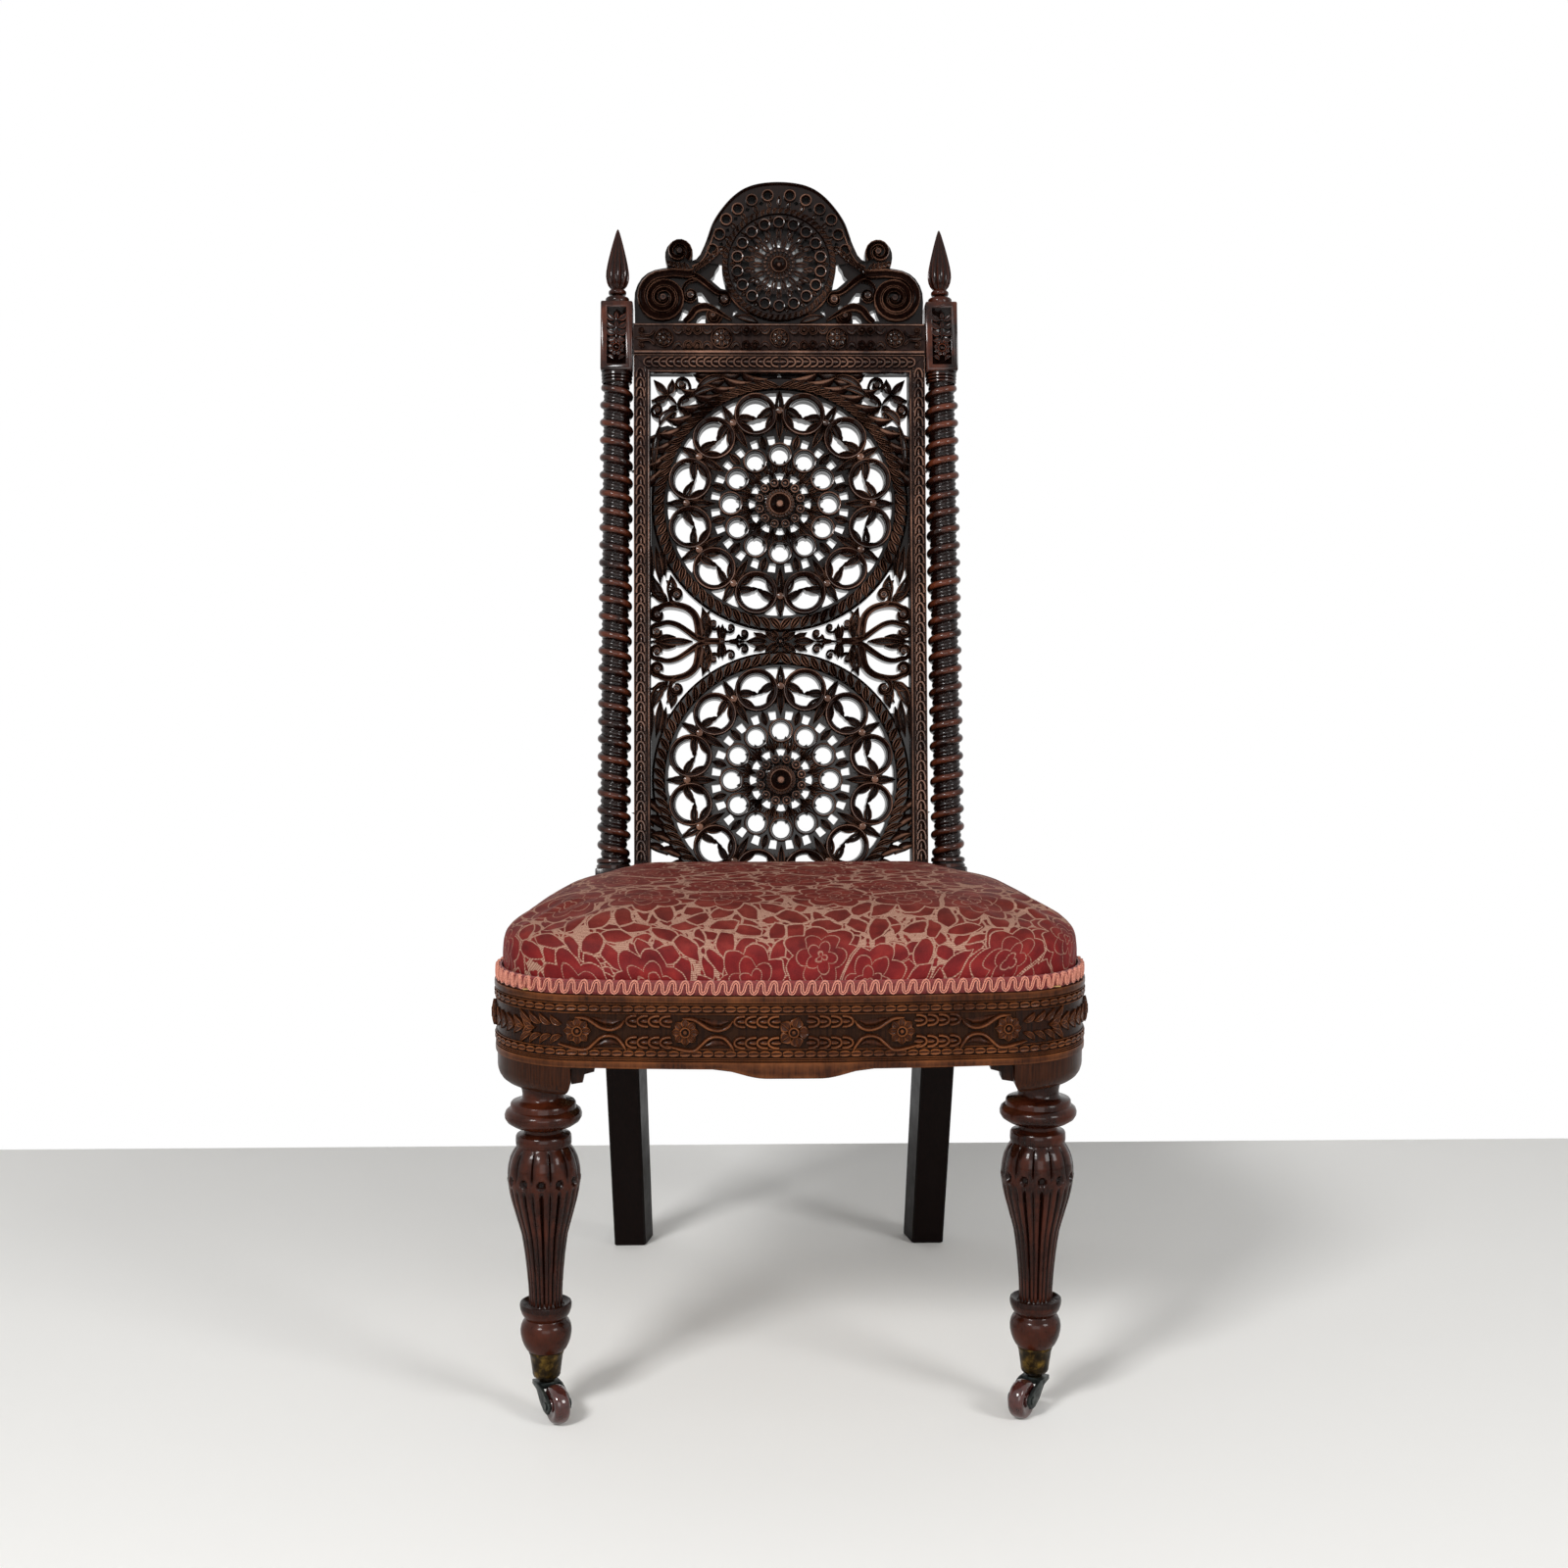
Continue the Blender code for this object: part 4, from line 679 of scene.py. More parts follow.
def corner_spray(carving):
    """An upper corner: feathered ground along the rope, a leafy sprig and two small volutes."""
    at = from_corner
    rope = [rosette_rise * 1j + polar(126, turn) for turn in range(88, 25, -4)]
    edge = [at(70, 850), at(118, 740), at(150, 640), at(250, 615), at(330, 640), at(420, 590),
            at(520, 500), at(600, 410), at(560, 345), at(610, 210), at(700, 120),
            complex(60, panel_end), complex(0, panel_end)]
    carving.slab(edge + rope, [], panel_back, 2.0, 0)
    leaf(carving, complex(84, 252), complex(52, 266), 4.0, 12.6, 12.0, bend=-0.16, floor=0)
    leaf(carving, complex(91, 244), complex(60, 256), 3.8, 12.6, 11.0, bend=-0.12, floor=0)
    leaf(carving, complex(102, 233), complex(121, 214), 4.0, 12.6, 11.0, bend=0.2, floor=0)
    leaf(carving, complex(120, 218), complex(125.5, 168), 3.2, 12.6, 10.5, bend=0.05, floor=0)
    leaf(carving, at(355, 395), at(228, 262), 2.2, 8.0, 8.5)
    leaf(carving, at(252, 285), at(92, 118), 4.2, 8.5, 7.0)
    leaf(carving, at(255, 285), at(300, 105), 4.6, 8.0, 7.0, bend=0.08)
    leaf(carving, at(250, 290), at(66, 345), 4.4, 8.0, 7.0, bend=-0.10)
    leaf(carving, at(350, 395), at(560, 300), 4.2, 7.0, 7.0, bend=-0.12)
    leaf(carving, at(345, 400), at(300, 610), 4.2, 7.0, 7.0, bend=0.12)
    leaf(carving, at(360, 410), at(500, 520), 3.2, 7.5, 7.5)
    tendril(carving, [at(385, 400), at(400, 335), at(470, 270), at(500, 200), at(478, 138)],
            at(405, 172), 4.8, -1, 1.7, 9.5, turns=1.0, tip_share=0.7)
    tendril(carving, [at(345, 420), at(290, 425), at(230, 500), at(160, 540), at(98, 510)],
            at(135, 455), 4.8, 1, 1.7, 9.5, turns=1.0, tip_share=0.7)


panel = Carving(on_face(back_matrix() @ Matrix.Translation((0, 0, panel_middle * mm)), 0.0))
rosette(panel)
panel.hoop(0, rope_profile, 120)
since = panel.mark()
half_rope(panel)
panel.mirror(since, 0)
panel.shift(0, v=rosette_rise)
since = panel.mark()
middle_scrolls(panel)
side_filler(panel)
panel.mirror(since, 0)
leaf(panel, 13.5, 35, 4.9, 9.2, 8.6)
leaf(panel, 34, 61, 1.8, 7.6, 7.6)
leaf(panel, from_middle(300, 490), from_middle(95, 490), 4.4, 8.6, 7.0)
leaf(panel, from_middle(110, 490), from_middle(58, 490), 1.6, 7.5, 7.5)
button(panel, from_middle(465, 490), 3.0, 9.6)
panel.mirror(len(panel.blocks) - 5, 0)
panel.slab([complex(u, v) for u, v in ((-19, -2), (-19, 2), (-13, 10), (0, 12), (13, 10), (19, 2),
                                       (19, -2), (13, -10), (0, -12), (-13, -10))], [],
           panel_back, 2.0, 0)
panel.turned(0, ((5.6, panel_back, 0), (5.6, 6.0, 0.1), (5.0, 8.4, 0.5), (4.0, 8.6, 0.4), (2.9, 6.4, 0),
                 (1.9, 6.2, 0), (1.5, 8.2, 0.7), (0, 8.8, 0.9)), 20)
panel.mirror(0, 1)
since = panel.mark()
corner_spray(panel)
panel.mirror(since, 0)
settle(panel.finish("pierced_rosette_panel"), carved_wood, stands_for=["pierced_panel"])

# Crest. A sawn and pierced board tongued to the frieze rail: an arch edged with drilled rings
# round a rope-rimmed roundel, with flared arms, small volutes and big scrolled shoulders. Same
# rosewood, carved and waxed.
crest_foot = 544.6
crest_back, crest_ground = -12.0, 2.0


def crest_at(across, down):
    """A place on the crest's left half, read off the photograph enlarged 9.5 times."""
    return complex(across * 0.1037 - 149.7, 154.6 - down * 0.1053)


def mirrored(points):
    """The same places on the other side of the crest's middle."""
    return [complex(-p.real, p.imag) for p in points]


crest_edge = [(42, 1466), (40, 1330), (36, 1230), (42, 1140), (68, 1065), (110, 1000), (165, 953),
              (235, 922), (310, 907), (358, 900), (345, 860), (336, 800), (338, 750), (356, 700),
              (392, 656), (440, 632), (490, 628), (535, 640), (572, 670), (596, 718), (602, 770),
              (600, 842), (640, 826), (678, 782), (714, 704), (742, 634), (768, 556), (794, 488),
              (834, 416), (884, 345), (945, 272), (1012, 208), (1092, 152), (1182, 114),
              (1280, 92), (1380, 82)]
crest_gaps = [
    [(886, 792), (898, 950), (924, 1112), (880, 1102), (832, 1062), (776, 1014), (812, 976),
     (826, 930), (858, 884), (868, 830)],
    [(624, 1140), (690, 1142), (716, 1176), (750, 1226), (784, 1262), (716, 1246), (660, 1232),
     (654, 1180)],
    [(508, 1300), (562, 1322), (556, 1366), (516, 1410), (466, 1414), (494, 1358)],
    [(632, 1456), (648, 1404), (690, 1366), (742, 1362), (724, 1410), (730, 1456)],
    [(798, 1260), (846, 1262), (868, 1278), (866, 1302), (834, 1290)],
    [(992, 1368), (1004, 1296), (1040, 1328)]]
crest = Carving(on_face(back_matrix() @ Matrix.Translation((0, 0, crest_foot * mm)), 0.0))
outline = [crest_at(*p) for p in crest_edge]
outline += mirrored(outline[::-1])
gaps = [[crest_at(*p) for p in gap] for gap in crest_gaps]
gaps += [mirrored(gap) for gap in gaps]
roundel = 62.0j
slots = []
for k in range(14):
    turn = 90 + 360 / 14 * k
    slots.append([roundel + polar(17.8, turn - 3.6), roundel + polar(17.8, turn + 3.6),
                  roundel + polar(23.8, turn + 5.2), roundel + polar(25.4, turn),
                  roundel + polar(23.8, turn - 5.2)])
rim_gaps = []
for turn in (205, 218, 322, 335, 235, 252, 270, 288, 305):
    rim_gaps.append([roundel + polar(47.0, turn - 2.4), roundel + polar(47.0, turn + 2.4),
                     roundel + polar(49.3, turn + 2.2), roundel + polar(49.3, turn - 2.2)])
crest.slab(outline, gaps + slots + rim_gaps, crest_back, -1.0, 0)
# The front layer has drilled and sunk cells that stop at the board's middle.
drills, sunk = [], []
arch_rings = [crest_at(*p) for p in ((798, 742), (866, 592), (932, 448), (1044, 345), (1180, 258),
                                     (1336, 214))]
arch_rings += mirrored(arch_rings)
for place in arch_rings:
    drills.append([place + polar(3.7, 30 * k) for k in range(12)])
for k in range(18):
    drills.append([roundel + polar(42.6, 90 + 20 * k) + polar(3.8, 36 * j) for j in range(10)])
    sunk.append([roundel + polar(r, 100 + 20 * k + t) for r, t in ((47.4, -4.5), (47.4, 4.5), (44.2, 2.4),
                                                                   (44.2, -2.4))])
    sunk.append([roundel + polar(r, 100 + 20 * k + t) for r, t in ((30.2, -4.0), (30.2, 4.0), (38.0, 5.4),
                                                                   (39.4, 0), (38.0, -5.4))])
for a, b in zip(arch_rings[:6], arch_rings[1:6] + mirrored(arch_rings[5:6])):
    middle = (a + b) / 2
    inward = (roundel - middle) / abs(roundel - middle)
    across = inward * 1j
    centre, size = middle + inward * 5.4, 2.8
    cell = [centre + across * -size, centre - inward * size * 0.8, centre + across * size,
            centre + inward * size * 0.9]
    sunk.append(cell)
    if centre.real < -2:
        sunk.append(mirrored(cell))
crest.slab(outline, gaps + slots + rim_gaps + drills + sunk, -1.0, crest_ground, 0.0)
rim = [roundel + polar(57.6, 180 + 6 * k) for k in range(31)]
arch_edge = [crest_at(*p) for p in crest_edge[21:]]
crest.slab(arch_edge + mirrored(arch_edge)[::-1] + rim[::-1], slots + rim_gaps + drills + sunk,
           crest_ground, 6.0, 0.1)
since = crest.mark()
# The arch's smooth outer edge.
smooth_edge = [crest_at(*p) for p in crest_edge[24:]] + [crest_at(1447, 80)]
smooth_edge = curve_through([p + 1.9 * cmath.exp(-1j * math.pi / 2) * (b - a) / abs(b - a)
                             for p, a, b in zip(smooth_edge[1:-1], smooth_edge, smooth_edge[2:])]
                            + [crest_at(1447, 98)], 3)
# On the crest, ridges are rubbed paler with a painted highlight and cuts darkened with painted shade.
edge_section = ((-1, 0.2, 0), (-0.7, 0.7, 0.15), (-0.2, 0.9, 0.3), (0.4, 1.0, 0.5), (0.85, 0.9, 0.55),
                (1, 0.5, 0.3))
crest.strip(smooth_edge, [2.1] * len(smooth_edge), [11.0] * len(smooth_edge), edge_section, crest_back)
# The big scrolled shoulder, and a small volute where it meets the arch.
coil, coil_half = [], []
for k in range(57):
    turns = 2.8 * k / 56
    coil.append(crest_at(318, 1205) + polar(np.interp(turns, (0, 1, 2, 2.8), (24.4, 15.4, 8.8, 4.6)),
                                            88 + 360 * turns))
    coil_half.append(np.interp(turns, (0, 1, 2, 2.8), (4.4, 3.6, 2.7, 1.6)))
lead = [crest_at(620, 966), crest_at(560, 975), crest_at(470, 968), crest_at(390, 962)]
lead = curve_through(lead, 4)[:-1]
scroll_section = ((-1, 0.45, 0.1), (-0.9, 0.93, 0.9), (-0.70, 0.98, 1.0), (-0.50, 0.80, 0.35),
                  (0, 0.72, 0.22), (0.55, 0.83, 0.35), (0.80, 0.98, 0.9), (0.94, 0.92, 0.6), (1, 0.45, 0.1))
crest.strip(lead + coil[1:], [4.4] * len(lead) + coil_half[1:], [12.0] * (len(lead) + 56), scroll_section,
            crest_back)
button(crest, crest_at(318, 1205), 3.2, 12.4, 0)
coil = []
for k in range(25):
    t = k / 24
    coil.append(crest_at(470, 758) + polar(10.6 * (1 - t) ** 0.85 + 1.2, -42 + 360 * 1.55 * t))
crest.strip(coil, [3.3 - 1.6 * k / 24 for k in range(25)], [11.8] * 25, scroll_section, crest_back)
button(crest, crest_at(478, 756), 3.1, 12.2, 0)
# Feathers along the shoulder and up the flared arm.
for k in range(5):
    start = crest_at(585 - 44 * k, 935 - 14 * k)
    leaf(crest, start, start + polar(10.5 - k, 128 + 6 * k), 2.9, 11.4, 9.0, bend=0.18, floor=0)
for k in range(7):
    start = crest_at(610 + 36 * k, 985 - 26 * k - 6 * max(0, k - 3) ** 1.5)
    leaf(crest, start, start + polar(13.5, 52 - 2 * k), 2.9, 12.2, 9.6, bend=0.16, floor=0)
flare = [crest_at(*p) for p in ((600, 905), (672, 868), (728, 800), (770, 700), (800, 620), (830, 540))]
crest.strip(curve_through(flare, 4), [1.3] * 21, [9.6] * 21, roll_section, 0)
# Scrolled stems inside the shoulder, the bow over its foot, and leaves towards the middle.
arm = [crest_at(*p) for p in ((600, 990), (663, 1014), (742, 1072), (810, 1130), (866, 1160), (925, 1165))]
tendril(crest, arm, crest_at(908, 1220), 6.2, -1, 3.8, 11.4, turns=1.1, floor=crest_back, tip_share=0.3,
        section=scroll_section)
arm = [crest_at(*p) for p in ((660, 1030), (600, 1036), (545, 1064), (512, 1118), (516, 1180))]
tendril(crest, arm, crest_at(582, 1180), 6.2, 1, 2.2, 10.8, turns=1.1, floor=crest_back, tip_share=0.5,
        section=scroll_section)
arch = curve_through([crest_at(*p) for p in ((530, 1438), (583, 1385), (636, 1319), (722, 1292),
                                             (808, 1319), (888, 1365), (981, 1422))], 4)
crest.strip(arch, np.interp(np.linspace(0, 1, len(arch)), (0, 0.5, 1), (3.0, 4.2, 1.0)),
            [11.4] * len(arch), scroll_section, crest_back)
tendril(crest, [crest_at(*p) for p in ((880, 1380), (840, 1440), (778, 1436), (750, 1380))],
        crest_at(800, 1372), 4.2, -1, 2.6, 9.8, turns=0.9, floor=crest_back)
leaf(crest, crest_at(940, 1140), crest_at(1160, 1380), 4.6, 9.6, 8.0, bend=0.05, floor=0)
leaf(crest, crest_at(1240, 1440), crest_at(1010, 1380), 3.6, 8.6, 8.0, bend=-0.06, floor=0)
# The drilled rings of the arch, each with a leaf that points at the roundel.
drill_ring = ((6.6, 0, 0), (6.6, 7.0, 0.2), (6.1, 10.0, 0.65), (5.2, 10.6, 0.85), (4.4, 9.0, 0.3),
              (3.7, 5.0, 0), (3.7, 0, 0))
for place in arch_rings[:6]:
    crest.hoop(place, drill_ring, 20)
    inward = (roundel - place) / abs(roundel - place)
    leaf(crest, place + inward * 5.6, place + inward * 14.0, 2.4, 9.8, 8.5, floor=0)
crest.mirror(since, 0)
leaf(crest, crest_at(1447, 218), crest_at(1447, 330), 2.6, 10.2, 9.2, floor=0)
# The roundel: a rope rim, a ring of drilled rings, slots with leaves, beads, and a dished boss.
crest.hoop(roundel, ((57.6, crest_back, 0), (57.6, 7.0, 0.1), (56.6, 8.6, 0.4), (52.0, 8.6, 0.2),
                     (51.0, 7.0, 0), (51.0, 0, 0)), 96)
since = crest.mark()
leaf(crest, roundel + polar(51.4, 90), roundel + polar(57.4, 84.6), 1.9, 11.6, 10.8, bend=0.14, floor=4,
     section=lens_section)
crest.spin(since, roundel, 56)
since = crest.mark()
crest.hoop(roundel + 42.6j, ((6.5, 0, 0), (6.4, 8.8, 0.3), (5.8, 10.6, 0.75), (4.9, 10.4, 0.7),
                             (4.1, 7.0, 0.1), (3.8, 0, 0)), 16)
leaf(crest, roundel + 35.8j, roundel + 27.0j, 2.7, 9.6, 7.4, floor=0)
leaf(crest, roundel + polar(50.0, 100), roundel + polar(43.5, 100), 1.9, 9.6, 8.6, floor=0)
crest.spin(since, roundel, 18)
since = crest.mark()
leaf(crest, roundel + 24.8j, roundel + 31.5j, 2.6, 8.4, 7.0, floor=0)
leaf(crest, roundel + polar(16.2, 90 + 12.86), roundel + polar(29, 90 + 12.86), 2.6, 8.0, 6.6, floor=0)
crest.spin(since, roundel, 14)
since = crest.mark()
button(crest, roundel + 14.2j, 1.5, 9.4, 0, 8)
crest.spin(since, roundel, 22)
since = crest.mark()
leaf(crest, roundel + 8.2j, roundel + 12.2j, 1.2, 8.4, 7.2, floor=0)
crest.spin(since, roundel, 20)
crest.turned(roundel, ((12.6, 0, 0), (12.6, 5.6, 0), (8.6, 6.0, 0), (8.2, 9.4, 0.6), (7.6, 9.9, 0.8),
                       (6.6, 8.0, 0.1), (3.4, 6.0, 0.0), (2.6, 7.2, 0.3), (1.4, 8.2, 0.6),
                       (0, 8.2, 0.6)), 32)
settle(crest.finish("drilled_crest"), carved_wood, stands_for=["crest"])

# Frieze rail. It is tenoned between the posts under the crest, and carved with five rosettes
# between curled leaves and plain rubbed fillets. The rail's own solid stays: this is the carving
# on its face, in the same waxed rosewood.

# The sunk ground holds dry dust, so it is dull and a little greyer.
field_wood = rosewood("rosewood_sunk_field", "241816", "3f2d28", "5a4038", 0.44, specular=0.05)
frieze_middle, frieze_face = 528.9, 15.0
rosette_step = 57.9


def refinish(names, wood):
    """Gives solids that stay their finish."""
    for name in names:
        nodes[name].data.materials.clear()
        nodes[name].data.materials.append(wood)


frieze = Carving(on_face(back_matrix() @ Matrix.Translation((0, 0, frieze_middle * mm)), frieze_face * mm))
for height, half in ((14.1, 1.35), (-13.3, 2.15)):
    line = [complex(-145.4 + 290.8 * k / 8, height) for k in range(9)]
    frieze.strip(line, [half] * 9, [1.5] * 9, roll_section, -0.4)
for k in range(-2, 3):
    centre = rosette_step * k + 0j
    radius, half = (10.0, 2.9) if k in (-1, 1) else (8.8, 2.5)
    since = frieze.mark()
    leaf(frieze, centre + 3.0, centre + radius, half, 3.4, 2.4, floor=-0.4)
    frieze.spin(since, centre, 8)
    frieze.hoop(centre, ((radius + 1.0, -0.4, 0), (radius + 0.9, 1.9, 0.5), (radius + 0.2, 2.3, 0.8),
                         (radius - 0.5, 1.4, 0.3), (radius - 0.6, -0.4, 0)), 24)
    button(frieze, centre, 3.3, 3.0, -0.4, 12)
since = frieze.mark()
for start in (0.0, rosette_step):
    for level in (1, -1):
        high = level * 11.2
        for a, b in ((start + 9.5, start + 19.5), (start + 48.4, start + 38.4)):
            smile = [complex(a + (b - a) * t, high - level * 6.0 * math.sin(math.pi * t) ** 0.8)
                     for t in (0, 0.12, 0.25, 0.4, 0.55, 0.7, 0.85, 1)]
            frieze.strip(smile, [0.8, 1.5, 1.9, 2.0, 2.0, 1.8, 1.3, 0.6], [2.8] * 8, leaf_section, -0.4)
        for middle, hand in ((start + 24.4, 1), (start + 33.5, -1)):
            stem = [complex(middle - 4.2 * hand, high), complex(middle - 3.4 * hand, high - level * 5.6),
                    complex(middle + 0.8 * hand, high - level * 7.6),
                    complex(middle + 3.6 * hand, high - level * 4.4)]
            tendril(frieze, stem, complex(middle + 0.4 * hand, high - level * 3.4), 2.4, hand * level, 1.4,
                    3.0, turns=0.6, floor=-0.4)
for level in (1, -1):
    tendril(frieze, [complex(125, 7.4 * level), complex(130, 2.6 * level), complex(137, 3.0 * level)],
            complex(137.6, 7.0 * level), 2.6, level, 1.5, 2.8, turns=0.8, floor=-0.4)
leaf(frieze, 145, 128, 2.0, 1.7, 1.2, floor=-0.4)
frieze.mirror(since, 0)
for points, _ in frieze.blocks[2:]:        # all but the two fillets stand nearly twice as high
    points[:, 2] *= 1.9
settle(frieze.finish("frieze_carving"), carved_wood)
refinish(["frieze_rail"], field_wood)

# Panel frame. Four mitred members round the pierced panel, tongued to the posts and the frieze
# rail. Rosewood, with a row of scallops on the flat, a rubbed inner fillet and a thin outer bead;
# the members' own solids stay under the carving.
frame_face = 14.0
trim = Carving(on_face(back_matrix(), frame_face * mm))
# The scallop rims are a little paler, rubbed wear with a painted highlight.
rim_section = ((-1, 0.3, 0.05), (-0.7, 0.85, 0.5), (-0.3, 0.98, 0.85), (0.3, 0.98, 0.85), (0.7, 0.85, 0.5),
               (1, 0.3, 0.05))


def scallops(carving, start, end, inward, count, half, section=rim_section):
    """A row of overlapping arcs from start to end, each over a hollow with a tongue in it."""
    for k in range(count):
        foot = start + (end - start) * k / count
        run = (end - start) / abs(end - start)
        step = abs(end - start) / count
        bow = [foot + inward * half + run * 0.4, foot + inward * half * 0.94 + run * step * 0.45,
               foot + inward * half * 0.6 + run * step * 0.84, foot + run * step * 0.98,
               foot - inward * half * 0.6 + run * step * 0.84,
               foot - inward * half * 0.94 + run * step * 0.45,
               foot - inward * half + run * 0.4]
        line = curve_through(bow, 2)
        carving.strip(line, [1.45] * len(line), [3.2] * len(line), section, -0.3)
        tongue = [foot + run * step * share for share in (-0.1, 0.2, 0.5, 0.72)]
        carving.strip(tongue, [half * 0.3, half * 0.52, half * 0.48, half * 0.2], [2.0, 2.6, 2.4, 1.6],
                      plume_section, -0.3)


since = trim.mark()
scallops(trim, complex(-139.4, 6), complex(-139.4, 499), 1, 50, 4.0)
scallops(trim, complex(-1, 505.0), complex(-136, 505.0), -1j, 18, 4.7)
scallops(trim, complex(-1, -35.0), complex(-136, -35.0), 1j, 18, 4.7)
for (a, b), half, low, high in (((-131.4 - 31j, -131.4 + 497j), 1.4, -6.0, 1.7),
                                ((-131 + 496j, 0 + 496j), 1.5, -6.0, 1.7),
                                ((-131 - 26j, 0 - 26j), 1.5, -6.0, 1.7),
                                ((-145.5 - 42j, -145.5 + 512.4j), 0.6, -0.3, 1.6),
                                ((-145.5 + 512.4j, 0 + 512.4j), 0.7, -0.3, 1.6),
                                ((-134.4 - 30j, -134.4 + 500j), 0.5, -0.3, 1.2)):
    trim.strip([a + (b - a) * k / 6 for k in range(7)], [half] * 7, [high] * 7, roll_section, low)
trim.mirror(since, 0)
settle(trim.finish("frame_carving"), carved_wood)
refinish(["panel_frame_top", "panel_frame_bottom", "panel_frame_left", "panel_frame_right"], field_wood)

# Finials. Turned rosewood knops dowelled into the posts: a disc, a neck and a bead under a pointed
# bud whose side is carved in twelve reeds, rubbed red brown with a painted highlight on each reed and
# painted shade between them.

# Turned on a lathe and rubbed with wax, finer in the grain than the carved parts. Its rubbed tops
# carry a painted highlight and its grooves painted shade.
turned_wood = rosewood("rosewood_turned_and_polished", "0c0402", "230d07", "552412", 0.26,
                       fibre_mm=(1.2, 1.2, 40.0), coat=0.22)
bud = ((5.4, 14.4), (7.2, 16.0), (9.6, 19.0), (11.3, 23.0), (12.0, 27.5), (11.8, 32.5), (10.8, 39.0),
       (9.3, 46.0), (7.6, 53.0), (5.8, 60.0), (4.0, 66.5), (2.4, 72.0), (1.1, 75.6), (0.2, 76.8))
finial_foot = ((8.0, 0.0), (11.6, 0.4), (12.1, 2.2), (12.0, 5.2), (11.0, 6.4), (6.6, 7.0), (4.6, 7.8),
               (4.5, 8.6), (6.2, 9.2), (8.4, 9.6), (9.0, 11.0), (8.9, 12.9), (8.0, 13.9), (5.4, 14.2))
finial_steps = 96
for side, way in sides:
    raked = back_matrix(way * post_spacing / 2, -way * post_splay)
    turn = np.arange(finial_steps) * math.tau / finial_steps
    reed = 1 - np.abs(np.cos(6 * turn)) ** 0.6
    rows, wear_and_light_rows = [], []
    for radius, height in finial_foot + bud:
        cut = 0.0 if height < 14.3 else min(1.0, (height - 14.3) / 4) * min(1.0, (77 - height) / 6)
        around = radius * (1 - 0.16 * cut * (1 - reed))
        rows.append(np.stack([around * np.cos(turn), around * np.sin(turn),
                              np.full(finial_steps, height + top_block_high)], axis=1) * mm)
        # Reed crests paler with a painted highlight, grooves darker with painted shade.
        wear_and_light_rows.append(0.80 + 0.9 * cut * (reed - 0.80))
    finial = grid_piece("reeded_finial_" + side, rows, wear_and_light_rows, 50)
    finial.data.transform(raked)
    settle(finial, turned_wood, stands_for=["finial_" + side])

# Seat rails. Bowed front rail, straight side rails and a plain rear rail of rosewood. Their solids
# stay, and the carving is a ribbon on their faces and round the corner posts: rubbed brown fillets,
# two rows of small links, and a sunk field of rosettes, vines, scallops and leaves; the carving's
# tops carry a painted highlight and its hollows painted shade.
seat_bow, seat_corner, seat_toe = 1500.0, 80.0, 0.2118
corner_x, corner_y, bow_y = 170.0, -176.787, 1233.0
bow_half = math.atan2(corner_x, bow_y - corner_y)
bow_run, corner_run = seat_bow * bow_half, seat_corner * (math.pi / 2 + seat_toe - bow_half)
rail_end = 608.0


def round_seat(points):
    """Places (u, v, h) in mm: u along the seat's edge from its middle, v the height, h outwards."""
    way = np.where(points[:, 0] < 0, -1.0, 1.0)
    along = np.abs(points[:, 0]) / mm
    turn = np.where(along < bow_run, along / seat_bow,
                    np.minimum(bow_half + (along - bow_run) / seat_corner, math.pi / 2 + seat_toe))
    past = np.maximum(along - bow_run - corner_run, 0)
    radius = np.where(along < bow_run, seat_bow, seat_corner)
    centre_x = np.where(along < bow_run, 0.0, corner_x)
    centre_y = np.where(along < bow_run, bow_y, corner_y)
    out = points[:, 2] / mm
    x = centre_x + (radius + out) * np.sin(turn) - past * math.sin(seat_toe)
    y = centre_y - (radius + out) * np.cos(turn) + past * math.cos(seat_toe)
    return np.stack([way * x * mm, y * mm, points[:, 1]], axis=1)


def apron(along):
    """How far the front rail's foot hangs down at its middle, in millimetres."""
    share = min(max((64.0 - abs(along)) / 42.0, 0.0), 1.0)
    return 7.8 * share * share * (3 - 2 * share)


# Rubbed by clothes and hands to a warm brown, with little wax left; the paler brown on the carving's
# tops is rubbed wear with a painted highlight, the dark in its hollows painted shade.
rail_wood = rosewood("rosewood_rubbed_rail", "170a05", "3c1d0d", "7a4726", 0.34, coat=0.08)
# The sunk ground between the carving, dull with dust.
rail_ground = rosewood("rosewood_rail_ground", "281610", "432818", "7a4a2c", 0.42, specular=0.05)
rail = Carving(round_seat)
level_line = [complex(-rail_end + rail_end * 2 * k / 260, 0) for k in range(261)]


def moulding(level, half, top, section):
    """A fillet that runs all round at one height."""
    rail.strip([p + 1j * level for p in level_line], [half] * 261, [top] * 261, section, -0.5)


fillet_section = ((-1, 0.3, 0.2), (-0.9, 0.9, 0.8), (-0.3, 1.0, 0.6), (0.4, 1.0, 0.7), (0.92, 0.9, 0.9),
                  (1, 0.3, 0.2))
moulding(371.9, 2.9, 1.7, fillet_section)
for level in (367.7, 359.9, 330.8, 322.9, 321.3):
    moulding(level, 0.55, 1.3, roll_section)
rail.strip([p + 1j * (317.0 - apron(p.real) / 2) for p in level_line],
           [3.1 + apron(p.real) / 2 for p in level_line], [1.6] * 261, fillet_section, -0.5)
link_section = ((-1, 0.3, 0), (-0.78, 0.95, 1.0), (-0.4, 0.9, 0.9), (-0.12, 0.6, 0.1), (0.12, 0.6, 0.1),
                (0.4, 0.9, 0.9), (0.78, 0.95, 1.0), (1, 0.3, 0))
link_pitch = 9.3
